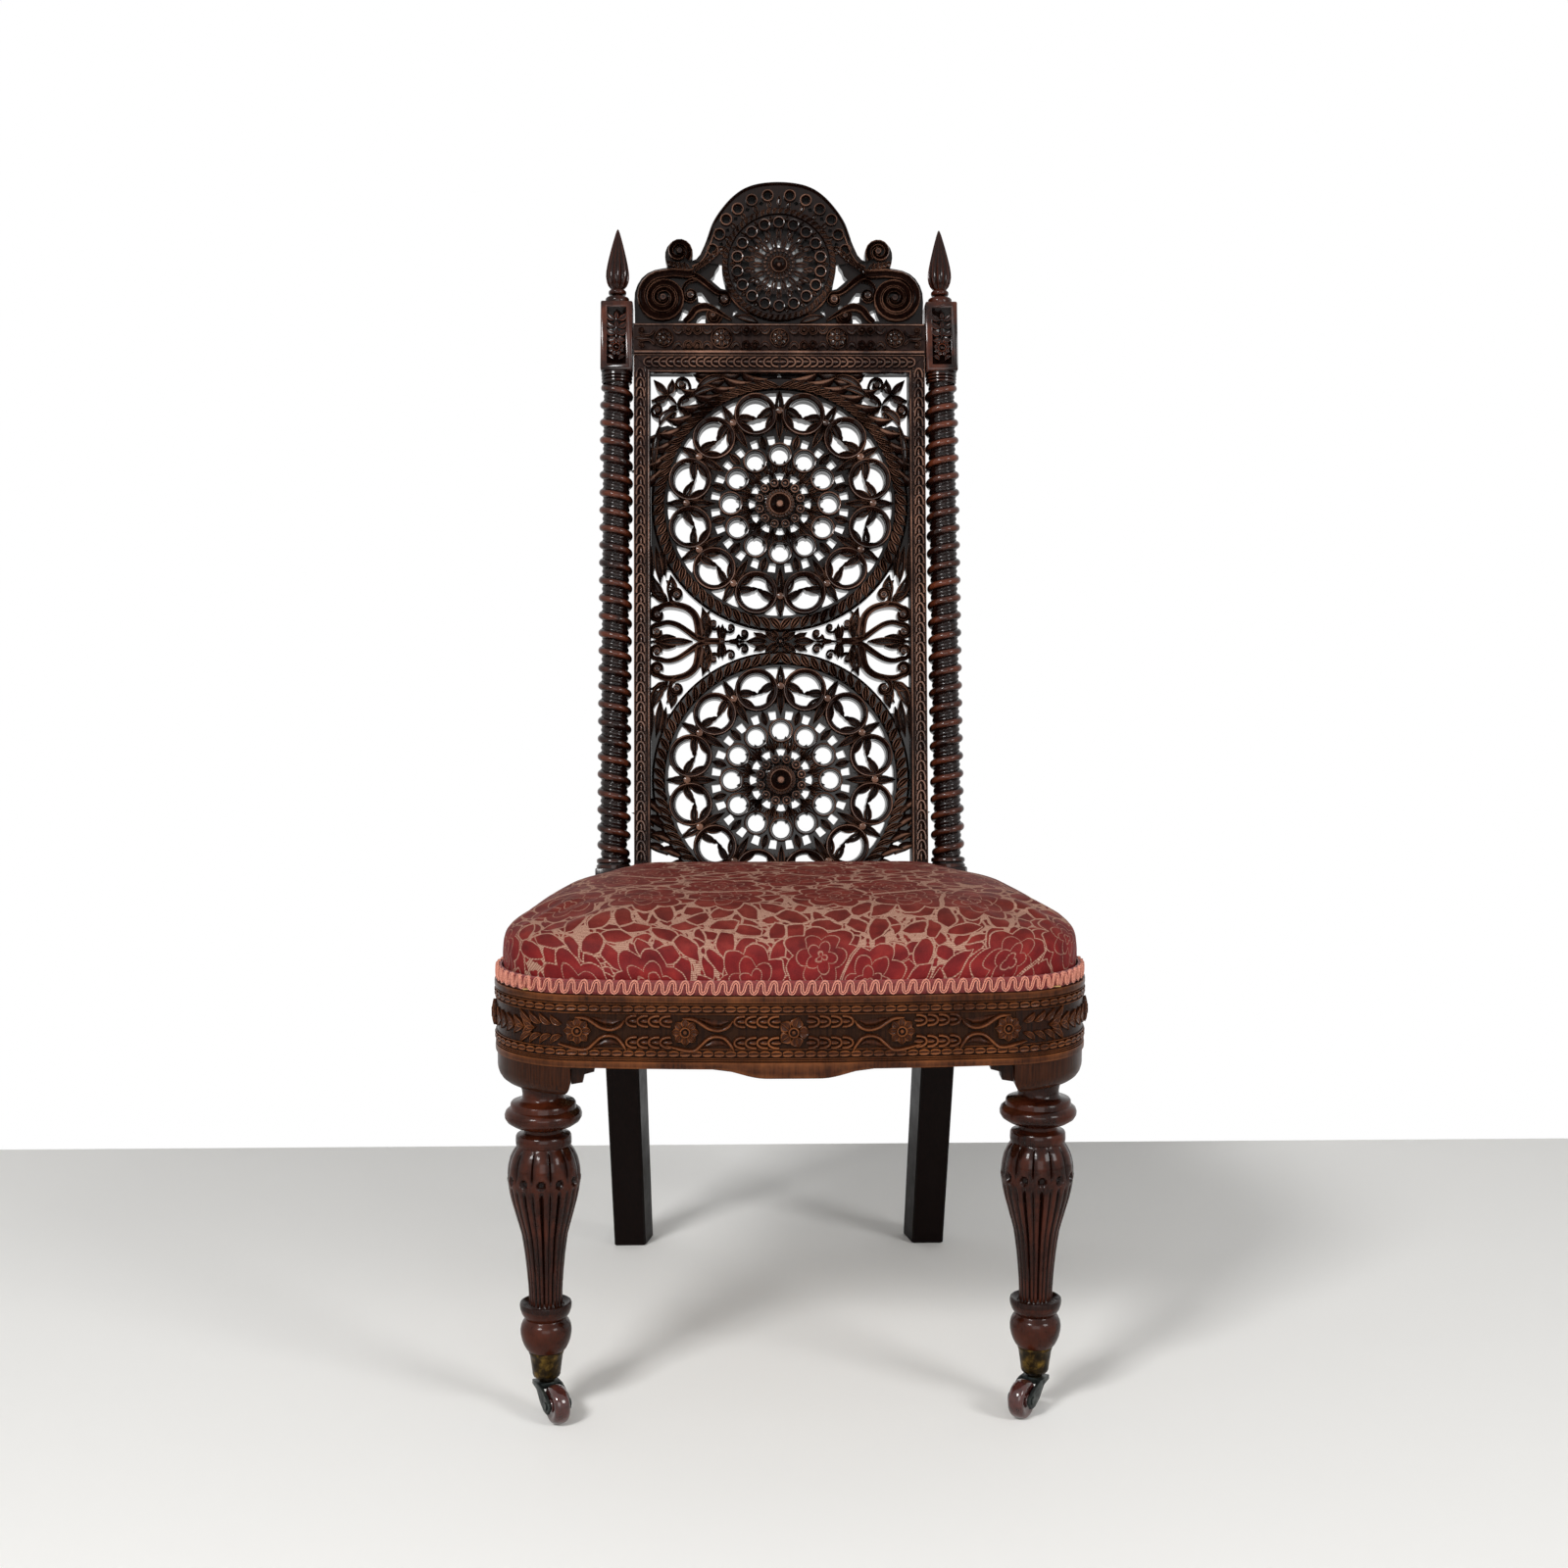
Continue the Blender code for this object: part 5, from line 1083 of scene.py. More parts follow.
for k in range(-65, 65):
    for level in (363.8, 326.8):
        start = k * link_pitch + 0.5 + level * 1j
        rail.strip([start, start + 1.6 + 0.2j, start + 4.0 + 0.4j, start + 6.4 + 0.4j, start + 8.4 + 0.2j],
                   [1.4, 2.7, 3.0, 2.6, 1.0], [2.0] * 5, link_section, -0.3)


def rail_rosette(along, petals=8, reach=10.2):
    """A rosette of petals round a button, in the middle of the rail's height."""
    centre = along + 345.2j
    since = rail.mark()
    leaf(rail, centre + 3.6, centre + reach + 1.0, 3.8 if petals == 8 else 5.6, 4.2, 2.8, floor=-0.4)
    rail.spin(since, centre, petals)
    rail.turned(centre, ((4.8, -0.4, 0), (4.8, 3.4, 0.3), (4.2, 4.6, 0.9), (3.4, 4.6, 0.9), (2.9, 2.2, 0),
                         (2.0, 2.1, 0), (1.5, 4.0, 0.7), (0, 4.2, 0.8)), 18)


top_lip = ((-2, 356.5), (6.6, 355.6), (12.4, 352.3), (19, 348.2), (27.3, 346.5), (34.7, 349.3),
           (38.8, 354.8))
low_vine = ((-15.7, 334.1), (-0.8, 330), (7.4, 330), (12.4, 334.1), (19, 339.9), (25.6, 341.6),
            (32.2, 339.9), (37.2, 334.1), (39.7, 330))


def vines(rosette_at):
    """The bright lip over, and the vine under, a dark hollow leaf between two rosettes."""
    for row, half in ((top_lip, 1.8), (low_vine, 1.7)):
        line = curve_through([complex(rosette_at - d, v) for d, v in row], 3)
        shares = [min(1.0, 0.35 + 0.3 * min(k, len(line) - 1 - k)) for k in range(len(line))]
        rail.strip(line, [half * share for share in shares], [3.6] * len(line), roll_section, -0.4)
    for level, up in ((356.6, -1), (331.6, 1)):
        body = [complex(rosette_at - d, level + up * rise) for d, rise in
                ((11, 0.4), (16, 2.2), (22, 4.2), (29, 4.8), (35, 2.4))]
        rail.strip(body, [0.5, 2.0, 2.9, 2.5, 0.8], [1.7] * 5, ((-1, 0.3, 0.05), (-0.4, 0.8, 0.1),
                   (0, 1.0, 0.4), (0.4, 0.8, 0.1), (1, 0.3, 0.05)), -0.4)


# A five-petalled rosette in the middle, then one half: rosettes with vines and scallops between
# them, and at the corner post two rows of leaves and a feathered stem.
rail_rosette(0, 5, 12.0)
since = rail.mark()
for middle in (88.2, 176.6, 290.0, 378.2, 466.4, 554.6):
    rail_rosette(middle)
for start in (0.0, 88.2, 290.0, 378.2, 466.4):
    vines(start + 88.2)
    for level in (354.0, 336.4):
        scallops(rail, complex(start + 11.5, level), complex(start + 48.5, level), 1j, 4, 4.4,
                 roll_section)
for k in range(4):
    for level, up in ((355.5, 1), (335, -1)):
        root = complex(190 + 9.0 * k, level - up * 5.4)
        leaf(rail, root, root + complex(9.5 + k, up * (7.0 + 0.8 * k)), 2.6, 2.4, 1.8, bend=-0.16 * up,
             floor=-0.4)
for k in range(5):
    root = complex(214 + 11 * k, 345.2)
    leaf(rail, root, root + complex(13, 8.0), 3.2, 2.4, 1.6, bend=-0.14, floor=-0.4)
    leaf(rail, root, root + complex(13, -8.0), 3.2, 2.4, 1.6, bend=0.14, floor=-0.4)
rail.mirror(since, 0)
settle(rail.finish("seat_rail_carving"), rail_wood)
refinish(["seat_rail_front", "seat_rail_left", "seat_rail_right"], rail_ground)
refinish(["leg_bracket_left", "leg_bracket_right"], rail_wood)
refinish(["corner_block_left", "corner_block_right", "seat_rail_rear"], plain_wood)

# Front legs. Each is one piece of rosewood: a corner post that follows the seat's rounded corner,
# and under it a turned leg with a big ring, a reeded vase with punched dots, a dished ring and a
# bulb. French polished over dark stain, with brown rubbed tops that carry a painted highlight and
# grooves painted black with painted shade.
leg_x, leg_y = 209.5, -206.0
leg_profile = (
    (16.0, 56.6), (17.2, 58.0), (19.0, 61.4), (20.6, 65.6), (21.6, 70.4), (21.8, 74.6), (21.1, 78.6),
    (19.6, 81.8), (17.7, 83.4), (17.3, 84.4), (18.6, 86.0), (20.6, 89.4), (21.8, 93.2), (22.1, 96.4),
    (21.6, 98.2), (20.6, 98.4), (18.4, 96.6), (16.0, 95.8), (14.5, 97.0))
reeded = ((14.3, 99.0), (14.3, 106.6), (14.7, 115.0), (15.6, 126.0), (16.7, 137.0), (18.1, 148.0),
          (19.6, 158.0), (21.4, 165.0), (23.4, 172.0), (25.6, 180.0), (27.8, 188.0), (29.3, 195.0),
          (30.3, 201.5), (30.8, 208.0), (30.8, 213.0), (30.2, 219.0), (28.6, 225.5), (26.0, 231.0),
          (22.8, 235.4))
leg_top = ((22.6, 235.8), (23.4, 236.8), (23.6, 239.5), (23.4, 243.6), (22.6, 245.0), (18.0, 245.8),
           (16.4, 247.4), (16.5, 250.0), (19.6, 251.4), (25.6, 253.4), (30.4, 256.6), (32.4, 260.0),
           (32.6, 262.6), (31.6, 265.4), (29.4, 267.2), (28.0, 267.9), (27.7, 268.8), (27.5, 272.0),
           (26.6, 273.2), (19.6, 274.6), (17.8, 276.6), (17.4, 280.4), (18.0, 284.0), (19.8, 288.6))
turn_count, dot_level = 192, 208.0
leg_turn = np.arange(turn_count) * math.tau / turn_count
twelfth = (leg_turn * 12 / math.tau) % 1.0
from_dot = np.minimum(twelfth, 1 - twelfth)       # 0 on a punched dot's line, 0.5 half way


def vase_ring(height):
    """Radius and wear-and-light value round the reeded vase at one height, with its flutes, fine cuts and
    dots.
    """
    radii, heights = zip(*reeded)
    radius = np.interp(height, heights, radii)
    low = min(1.0, max(0.0, (202.5 - height) / 5)) * min(1.0, (height - 97) / 4)
    high = min(1.0, max(0.0, (height - 207) / 8)) * min(1.0, (236.5 - height) / 6)
    width = np.interp(height, (120, 200), (0.13, 0.08))
    flute = np.clip(1 - from_dot / width, 0, 1) ** 0.45
    fine = np.clip(1 - (0.5 - from_dot) / 0.07, 0, 1) ** 0.7
    reed = np.abs(np.sin(math.tau * twelfth))
    cut = low * (0.075 * flute + 0.040 * fine + 0.020 * (1 - reed))
    lobe = np.clip(1 - (0.5 - from_dot) / 0.06, 0, 1) ** 0.7
    cut = cut + high * (0.058 * lobe + 0.03 * (1 - np.cos(math.pi * from_dot)))
    across = np.sin(leg_turn - np.round(leg_turn * 12 / math.tau) * math.tau / 12) * radius
    from_punch = np.hypot(across, height - dot_level)
    dot = np.minimum(np.clip(1.5 - from_punch / 2.7, 0, 1) * 2, 1)
    lip = np.exp(-((from_punch - 4.1) / 0.8) ** 2) * (height < dot_level)
    # Flutes, fine cuts and punched dots are darkened with painted shade; the reeds keep the rubbed colour
    # with a painted highlight.
    return radius * (1 - cut) - 3.0 * dot + 0.4 * lip, np.clip(0.76 - 12 * cut - 0.76 * dot, 0, 0.76)


whole = np.ones(turn_count)
leg_rings = [(radius * whole, height, (0.74 if height < 95 else 0.2) * whole)
             for radius, height in leg_profile]
for height in np.linspace(reeded[0][1], reeded[-1][1], 90):
    radius, wear_and_light = vase_ring(height)
    leg_rings.append((radius, height, wear_and_light))
leg_rings += [(radius * whole, height, 0.74 * whole) for radius, height in leg_top]
for side, way in sides:
    rows = [np.stack([way * leg_x + radius * np.sin(leg_turn), leg_y - radius * np.cos(leg_turn),
                      height * whole], axis=1) * mm for radius, height, _ in leg_rings]
    turned = grid_piece("vase_leg_" + side, rows, [wear_and_light for _, _, wear_and_light in leg_rings], 42)
    # The corner post, whose outer face is the seat's own corner and whose foot is rounded under.
    rows = []
    for inset, height in ((11.0, 288.0), (9.6, 288.2), (6.4, 289.2), (3.6, 291.4), (1.5, 294.6),
                          (0.3, 298.4), (0.0, 301.0), (0.0, 314.0), (0.0, 318.0), (0.0, 374.9)):
        reach = seat_corner - inset
        first = math.asin((leg_x - 26.5 + inset * 0.8 - corner_x) / reach)
        last = math.acos((corner_y - leg_y - 26.0) / reach)
        ring = [(corner_x + reach * math.sin(first + (last - first) * k / 20),
                 corner_y - reach * math.cos(first + (last - first) * k / 20)) for k in range(21)]
        ring = [(x, min(y, leg_y + 26.0 - inset * 0.8)) for x, y in ring]
        ring.append((leg_x - 26.5 + inset * 0.8, leg_y + 26.0 - inset * 0.8))
        rows.append([(way * x * mm, y * mm, height * mm) for x, y in ring])
    wear_and_light_rows = [np.full(22, 0.14)] * (len(rows) - 2) + [np.full(22, 0.0)] * 2
    post = grid_piece("corner_post_" + side, rows, wear_and_light_rows, 34)
    settle(turned, turned_wood, stands_for=["front_leg_" + side])
    settle(post, rail_wood)

# Castors. A spun brass cup on each foot, an iron spindle and horned fork cast dark grey, an iron
# axle, and a wheel of brown glazed china with a rounded tread. The fork swivels on the spindle,
# and the wheel rolls on the axle.
def metal(name, dark, body, bright, metallic, rough):
    """Old metal: tarnish in patches of about 8 mm, pits of about 1 mm, bright where it is rubbed."""
    made, tree, shader = new_finish(name)
    place = add_node(tree, "TexCoord", out="Object")
    patch = add_node(tree, "TexNoise", {0: place, "Scale": 1 / (8.333 * mm), "Detail": 5.0,
                                        "Roughness": 0.6})
    pits = add_node(tree, "TexNoise", {0: place, "Scale": 1 / (1.111 * mm), "Detail": 2.0})
    tint = add_node(tree, "ValToRGB", (patch,), ((0.32, dark), (0.5, body), (0.68, bright)))
    gloss = add_node(tree, "MapRange", (patch, 0.3, 0.7, rough + 0.15, rough - 0.08))
    bump = add_node(tree, "Bump", {"Height": pits, "Strength": 0.3, "Distance": 0.2 * mm})
    feed(tree, shader, {"Base Color": tint, "Roughness": gloss, "Normal": bump, "Metallic": metallic})
    return made


def salt_glaze(name, dark, body):
    """Brown salt-glazed china: mottled in the body, under a hard wet gloss with a slight peel."""
    made, tree, shader = new_finish(name)
    place = add_node(tree, "TexCoord", out="Object")
    mottle = add_node(tree, "TexNoise", {0: place, "Scale": 1 / (6 * mm), "Detail": 3.0})
    patch = add_node(tree, "TexNoise", {0: place, "Scale": 1 / (38.46 * mm), "Detail": 4.0,
                                        "Roughness": 0.65})
    tint = add_node(tree, "ValToRGB", (mottle,), ((0.25, dark), (0.62, body)))
    gloss = add_node(tree, "MapRange", (patch, 0.3, 0.7, 0.05, 0.22))
    bump = add_node(tree, "Bump", {"Height": mottle, "Strength": 0.35, "Distance": 0.25 * mm})
    feed(tree, shader, {"Base Color": tint, "Roughness": gloss, "Normal": bump,
                        "Specular IOR Level": 0.3, "Coat Weight": 0.5, "Coat Roughness": 0.10})
    return made


# Spun brass, brown with tarnish; iron cast in sand and blackened; china thrown and salt-glazed.
old_brass = metal("brass_spun_and_tarnished", "120d09", "2e2312", "6a5222", 0.9, 0.36)
cast_iron = metal("iron_cast_and_blackened", "16191a", "2b302f", "474c48", 0.75, 0.42)
china = salt_glaze("china_brown_salt_glaze", "2e1512", "482320")


def eased_copy(node, name, ease):
    """A copy of a solid with its edges eased, in millimetres."""
    copied = nodes[node].data.copy()
    copied.name = name
    shell = bmesh.new()
    shell.from_mesh(copied)
    bmesh.ops.remove_doubles(shell, verts=shell.verts, dist=0.02 * mm)
    bmesh.ops.dissolve_limit(shell, angle_limit=math.radians(1), verts=shell.verts, edges=shell.edges)
    edges = [e for e in shell.edges if len(e.link_faces) == 2
             and e.calc_face_angle() > math.radians(28)]
    bmesh.ops.bevel(shell, geom=edges, offset=ease * mm, segments=2, profile=0.6, affect="EDGES",
                    clamp_overlap=True)
    shell.to_mesh(copied)
    shell.free()
    copied.shade_smooth()
    copied.set_sharp_from_angle(angle=math.radians(34))
    copied.attributes.new("wear_and_light", "FLOAT", "POINT").data.foreach_set(
        "value", np.full(len(copied.vertices), 0.4, np.float32))
    piece = bpy.data.objects.new(name, copied)
    bpy.context.scene.collection.objects.link(piece)
    return piece


trail, wheel_z = 25.0, 16.3
cup_profile = ((3.1, 28.9), (6.3, 28.9), (6.6, 29.6), (7.4, 30.6), (9.4, 31.8), (11.2, 33.4), (11.9, 35.2),
               (12.1, 37.5), (13.2, 46.0), (14.2, 52.6), (14.8, 53.6), (15.0, 54.8), (14.8, 55.7),
               (14.2, 55.9), (13.45, 55.7), (13.3, 54.0), (10.7, 35.6), (10.4, 33.2), (3.1, 33.0))
for side, way in sides:
    turned_to = math.radians(25.0 if way < 0 else -33.0)
    castor = (Matrix.Translation((way * leg_x * mm, leg_y * mm, 0)) @ Matrix.Rotation(turned_to, 4, "Z"))
    cup = lathe_piece("brass_cup_" + side, cup_profile, 64, closed=True)
    cup.data.transform(castor)
    settle(cup, old_brass, stands_for=["castor_cup_" + side])
    half_profile = ((2.5, 6.9), (4.8, 6.9), (5.2, 6.1), (8.6, 6.0), (10.2, 6.5), (12.4, 6.9), (14.2, 6.3),
                    (15.4, 5.0), (16.1, 3.0), (16.3, 1.0))
    profile = [(r, -x) for r, x in half_profile] + [(r, x) for r, x in half_profile[::-1]]
    wheel = lathe_piece("china_wheel_" + side, profile, 72, closed=True)
    wheel.data.transform(castor @ Matrix.Translation((0, -trail * mm, wheel_z * mm))
                         @ Matrix.Rotation(math.pi / 2, 4, "Y"))
    settle(wheel, china, side + "_wheel", ["castor_wheel_" + side])
    fork = eased_copy("castor_fork_" + side, "horned_fork_" + side, 0.5)
    settle(fork, cast_iron, side + "_castor", ["castor_fork_" + side])
    refinish(["castor_spindle_" + side, "wheel_axle_" + side], cast_iron)

# Webbing and canvas. Five straps of jute go each way over the rails, over and under in turn, and
# are tacked down tight; a sheet of linen is stretched over them under the stuffing.
seat_back_y = 116.8


def seat_loop(inset, steps=(12, 14, 10)):
    """The seat's closed plan in mm, counter-clockwise from the front's middle."""
    right = [((seat_bow - inset) * math.sin(bow_half * k / steps[0]),
              bow_y - (seat_bow - inset) * math.cos(bow_half * k / steps[0])) for k in range(steps[0])]
    for k in range(steps[1] + 1):
        turn = bow_half + (math.pi / 2 + seat_toe - bow_half) * k / steps[1]
        right.append((corner_x + (seat_corner - inset) * math.sin(turn),
                      corner_y - (seat_corner - inset) * math.cos(turn)))
    start = right[-1]
    for k in range(1, steps[2] + 1):
        down = (seat_back_y - start[1]) * k / steps[2]
        right.append((start[0] - down * math.tan(seat_toe), start[1] + down))
    return right + [(-x, y) for x, y in right[:0:-1]]


def woven(name, light, dark, thread_mm, rough, bump_mm):
    """Plain weave of matt plant fibre: pale raised threads that cross, darker between them."""
    made, tree, shader = new_finish(name)
    place = add_node(tree, "TexCoord", out="Object")
    weave = {0: place, "Scale": math.pi / (10 * thread_mm * mm), "Distortion": 1.2, "Detail": 2.0}
    warp = add_node(tree, "TexWave", weave, bands_direction="X", out="Fac")
    weft = add_node(tree, "TexWave", weave, bands_direction="Y", out="Fac")
    both = add_node(tree, "Math", (warp, weft), operation="MAXIMUM")
    tint = add_node(tree, "ValToRGB", (both,), ((0.2, dark), (0.8, light)))
    bump = add_node(tree, "Bump", {"Height": both, "Strength": 0.6, "Distance": bump_mm * mm})
    feed(tree, shader, {"Base Color": tint, "Normal": bump, "Roughness": rough})
    return made


# Jute webbing has thick threads 1.6 mm apart, and the linen canvas threads 0.8 mm apart.
jute = woven("jute_webbing_woven", "a5804f", "5e4526", 1.6, 0.85, 0.4)
linen = woven("linen_canvas_woven", "b9a684", "857353", 0.8, 0.85, 0.2)
strap_half, strap_thick = 19.0, 0.9
straps = Carving(lambda points: points)
cross_x, cross_y = (-152.0, -76.0, 0.0, 76.0, 152.0), (-222.0, -149.0, -75.0, -1.0, 73.0)


def strap(fixed, others, start, end, across, phase):
    """One strap at a fixed place, lifted or sunk where it meets the others."""
    count = 61
    spine, lifts = [], []
    for k in range(count):
        at = start + (end - start) * k / (count - 1)
        nearest = min(range(len(others)), key=lambda j: abs(others[j] - at))
        sign = 1 if (nearest + phase) % 2 else -1
        near = max(0.0, 1 - max(0.0, abs(others[nearest] - at) - 12) / 22)
        lifts.append(376.2 + 0.5 * sign * near)
        spine.append(complex(fixed, at) if across else complex(at, fixed))
    spine = np.array(spine)
    side_way = 1.0 if across else 1j
    rings = []
    for middle, level in zip(spine, lifts):
        corners = [(middle + side_way * strap_half * a, level + strap_thick / 2 * b)
                   for a, b in ((-1, -1), (1, -1), (1, 1), (-1, 1))]
        rings.append([(at.real, at.imag, z, 0.5) for at, z in corners])
    straps.loft(rings)


for j, x in enumerate(cross_x):
    strap(x, cross_y, -252.0 if abs(x) < 100 else -240.0, 112.0, True, j)
for j, y in enumerate(cross_y):
    half = 222.0 if y < -100 else 220.0 - (y + 100) * 0.21
    strap(y, cross_x, -half, half, False, j + 1)
webbing = straps.finish("interlaced_webbing")
settle(webbing, jute, stands_for=["seat_webbing"])

loop = seat_loop(14.0)
canvas_mesh = bpy.data.meshes.new("stretched_canvas")
centre = np.mean(np.array(loop), axis=0)
rings = [[(centre[0] + (x - centre[0]) * t, centre[1] + (y - centre[1]) * t) for x, y in loop]
         for t in (1.0, 0.75, 0.5, 0.25, 0.02)]
points = [(x * mm, y * mm, 378.1 * mm) for ring in rings for x, y in ring]
count = len(loop)
faces = [(r * count + k, r * count + (k + 1) % count, (r + 1) * count + (k + 1) % count,
          (r + 1) * count + k) for r in range(4) for k in range(count)]
faces.append(tuple(range(4 * count, 5 * count)))
canvas_mesh.from_pydata(points, [], faces)
canvas = bpy.data.objects.new("stretched_canvas", canvas_mesh)
bpy.context.scene.collection.objects.link(canvas)
canvas_mesh.shade_smooth()
settle(canvas, linen, stands_for=["seat_canvas"])

# Cushion. Horsehair stuffing under floral silk damask, crowned in front and sunk at the back where
# it is sat on; the cover is pulled down over the rails' top edge and tacked. The stuffing swells
# the cover a little, which a short cloth simulation gives it.
cushion_profile = ((4.6, 379.0), (4.2, 384.0), (3.4, 389.2), (2.0, 395.6), (1.4, 402.5), (1.8, 409.5),
                   (4.2, 416.6), (8.6, 422.4), (16.0, 427.8), (27.0, 432.6), (42.0, 436.4), (63.0, 439.2),
                   (92.0, 441.0), (120.0, 442.4), (150.0, 443.0))
plan = np.array(seat_loop(0.0, (16, 16, 14)))
middle = np.array((0.0, -75.1))
rows = []
for inset, rise in cushion_profile:
    outward = plan - middle
    reach = np.linalg.norm(outward, axis=1)
    inward = plan - outward / reach[:, None] * np.minimum(inset * reach / 192.0, reach * 0.97)[:, None]
    inward[:, 1] = np.minimum(inward[:, 1], seat_back_y - 0.4 - 0.75 * inset)
    # The stuffing sinks towards the back and its corners and stands up a little at the sides.
    x, y = inward[:, 0], inward[:, 1]
    sunk = np.clip((y + 60) / 177, 0, 1) ** 1.2 * (2.5 + 10.5 * np.clip(abs(x) / 184, 0, 1) ** 1.3)
    stuffed = 4.2 * np.clip(abs(x) / 215, 0, 1) ** 3 * np.exp(-((y + 70) / 70) ** 2)
    height = rise + (stuffed - sunk) * min(max((rise - 388) / 40, 0), 1)
    rows.append(np.column_stack([inward, height]) * mm)
cushion = grid_piece("damask_cushion", rows, [np.full(len(plan), 0.5)] * len(rows), 60)


def swell(pad, cell, pinned_below, cap):
    """Blows a pad up a little as cloth over stuffing, with its foot held, no further than cap."""
    bpy.ops.object.select_all(action="DESELECT")
    pad.select_set(True)
    bpy.context.view_layer.objects.active = pad
    remesh = pad.modifiers.new("remesh", "REMESH")
    remesh.mode, remesh.voxel_size = "VOXEL", cell
    bpy.ops.object.modifier_apply(modifier=remesh.name)
    before = np.array([v.co[:] for v in pad.data.vertices])
    held = pad.vertex_groups.new(name="held")
    held.add([int(k) for k in np.nonzero(before[:, 2] < pinned_below)[0]], 1.0, "REPLACE")
    cloth = pad.modifiers.new("cloth", "CLOTH")
    cloth.settings.quality, cloth.settings.mass = 6, 0.3
    cloth.settings.tension_stiffness = cloth.settings.compression_stiffness = 40
    cloth.settings.use_pressure, cloth.settings.uniform_pressure_force = True, 4
    cloth.settings.effector_weights.gravity = 0
    cloth.settings.vertex_group_mass = "held"
    cloth.collision_settings.use_collision = False
    for step in range(1, 21):
        bpy.context.scene.frame_set(step)
    bpy.ops.object.modifier_apply(modifier=cloth.name)
    bpy.context.scene.frame_set(1)
    after = np.array([v.co[:] for v in pad.data.vertices])
    moved = after - before
    far = np.linalg.norm(moved, axis=1)
    moved *= np.minimum(1, cap / np.maximum(far, 1e-9))[:, None]
    pad.data.vertices.foreach_set("co", (before + moved).astype(np.float32).ravel())
    finer = pad.modifiers.new("finer", "SUBSURF")
    finer.levels = finer.render_levels = 1
    bpy.ops.object.modifier_apply(modifier=finer.name)
    pad.data.shade_smooth()


swell(cushion, 5 * mm, 386 * mm, 4 * mm)


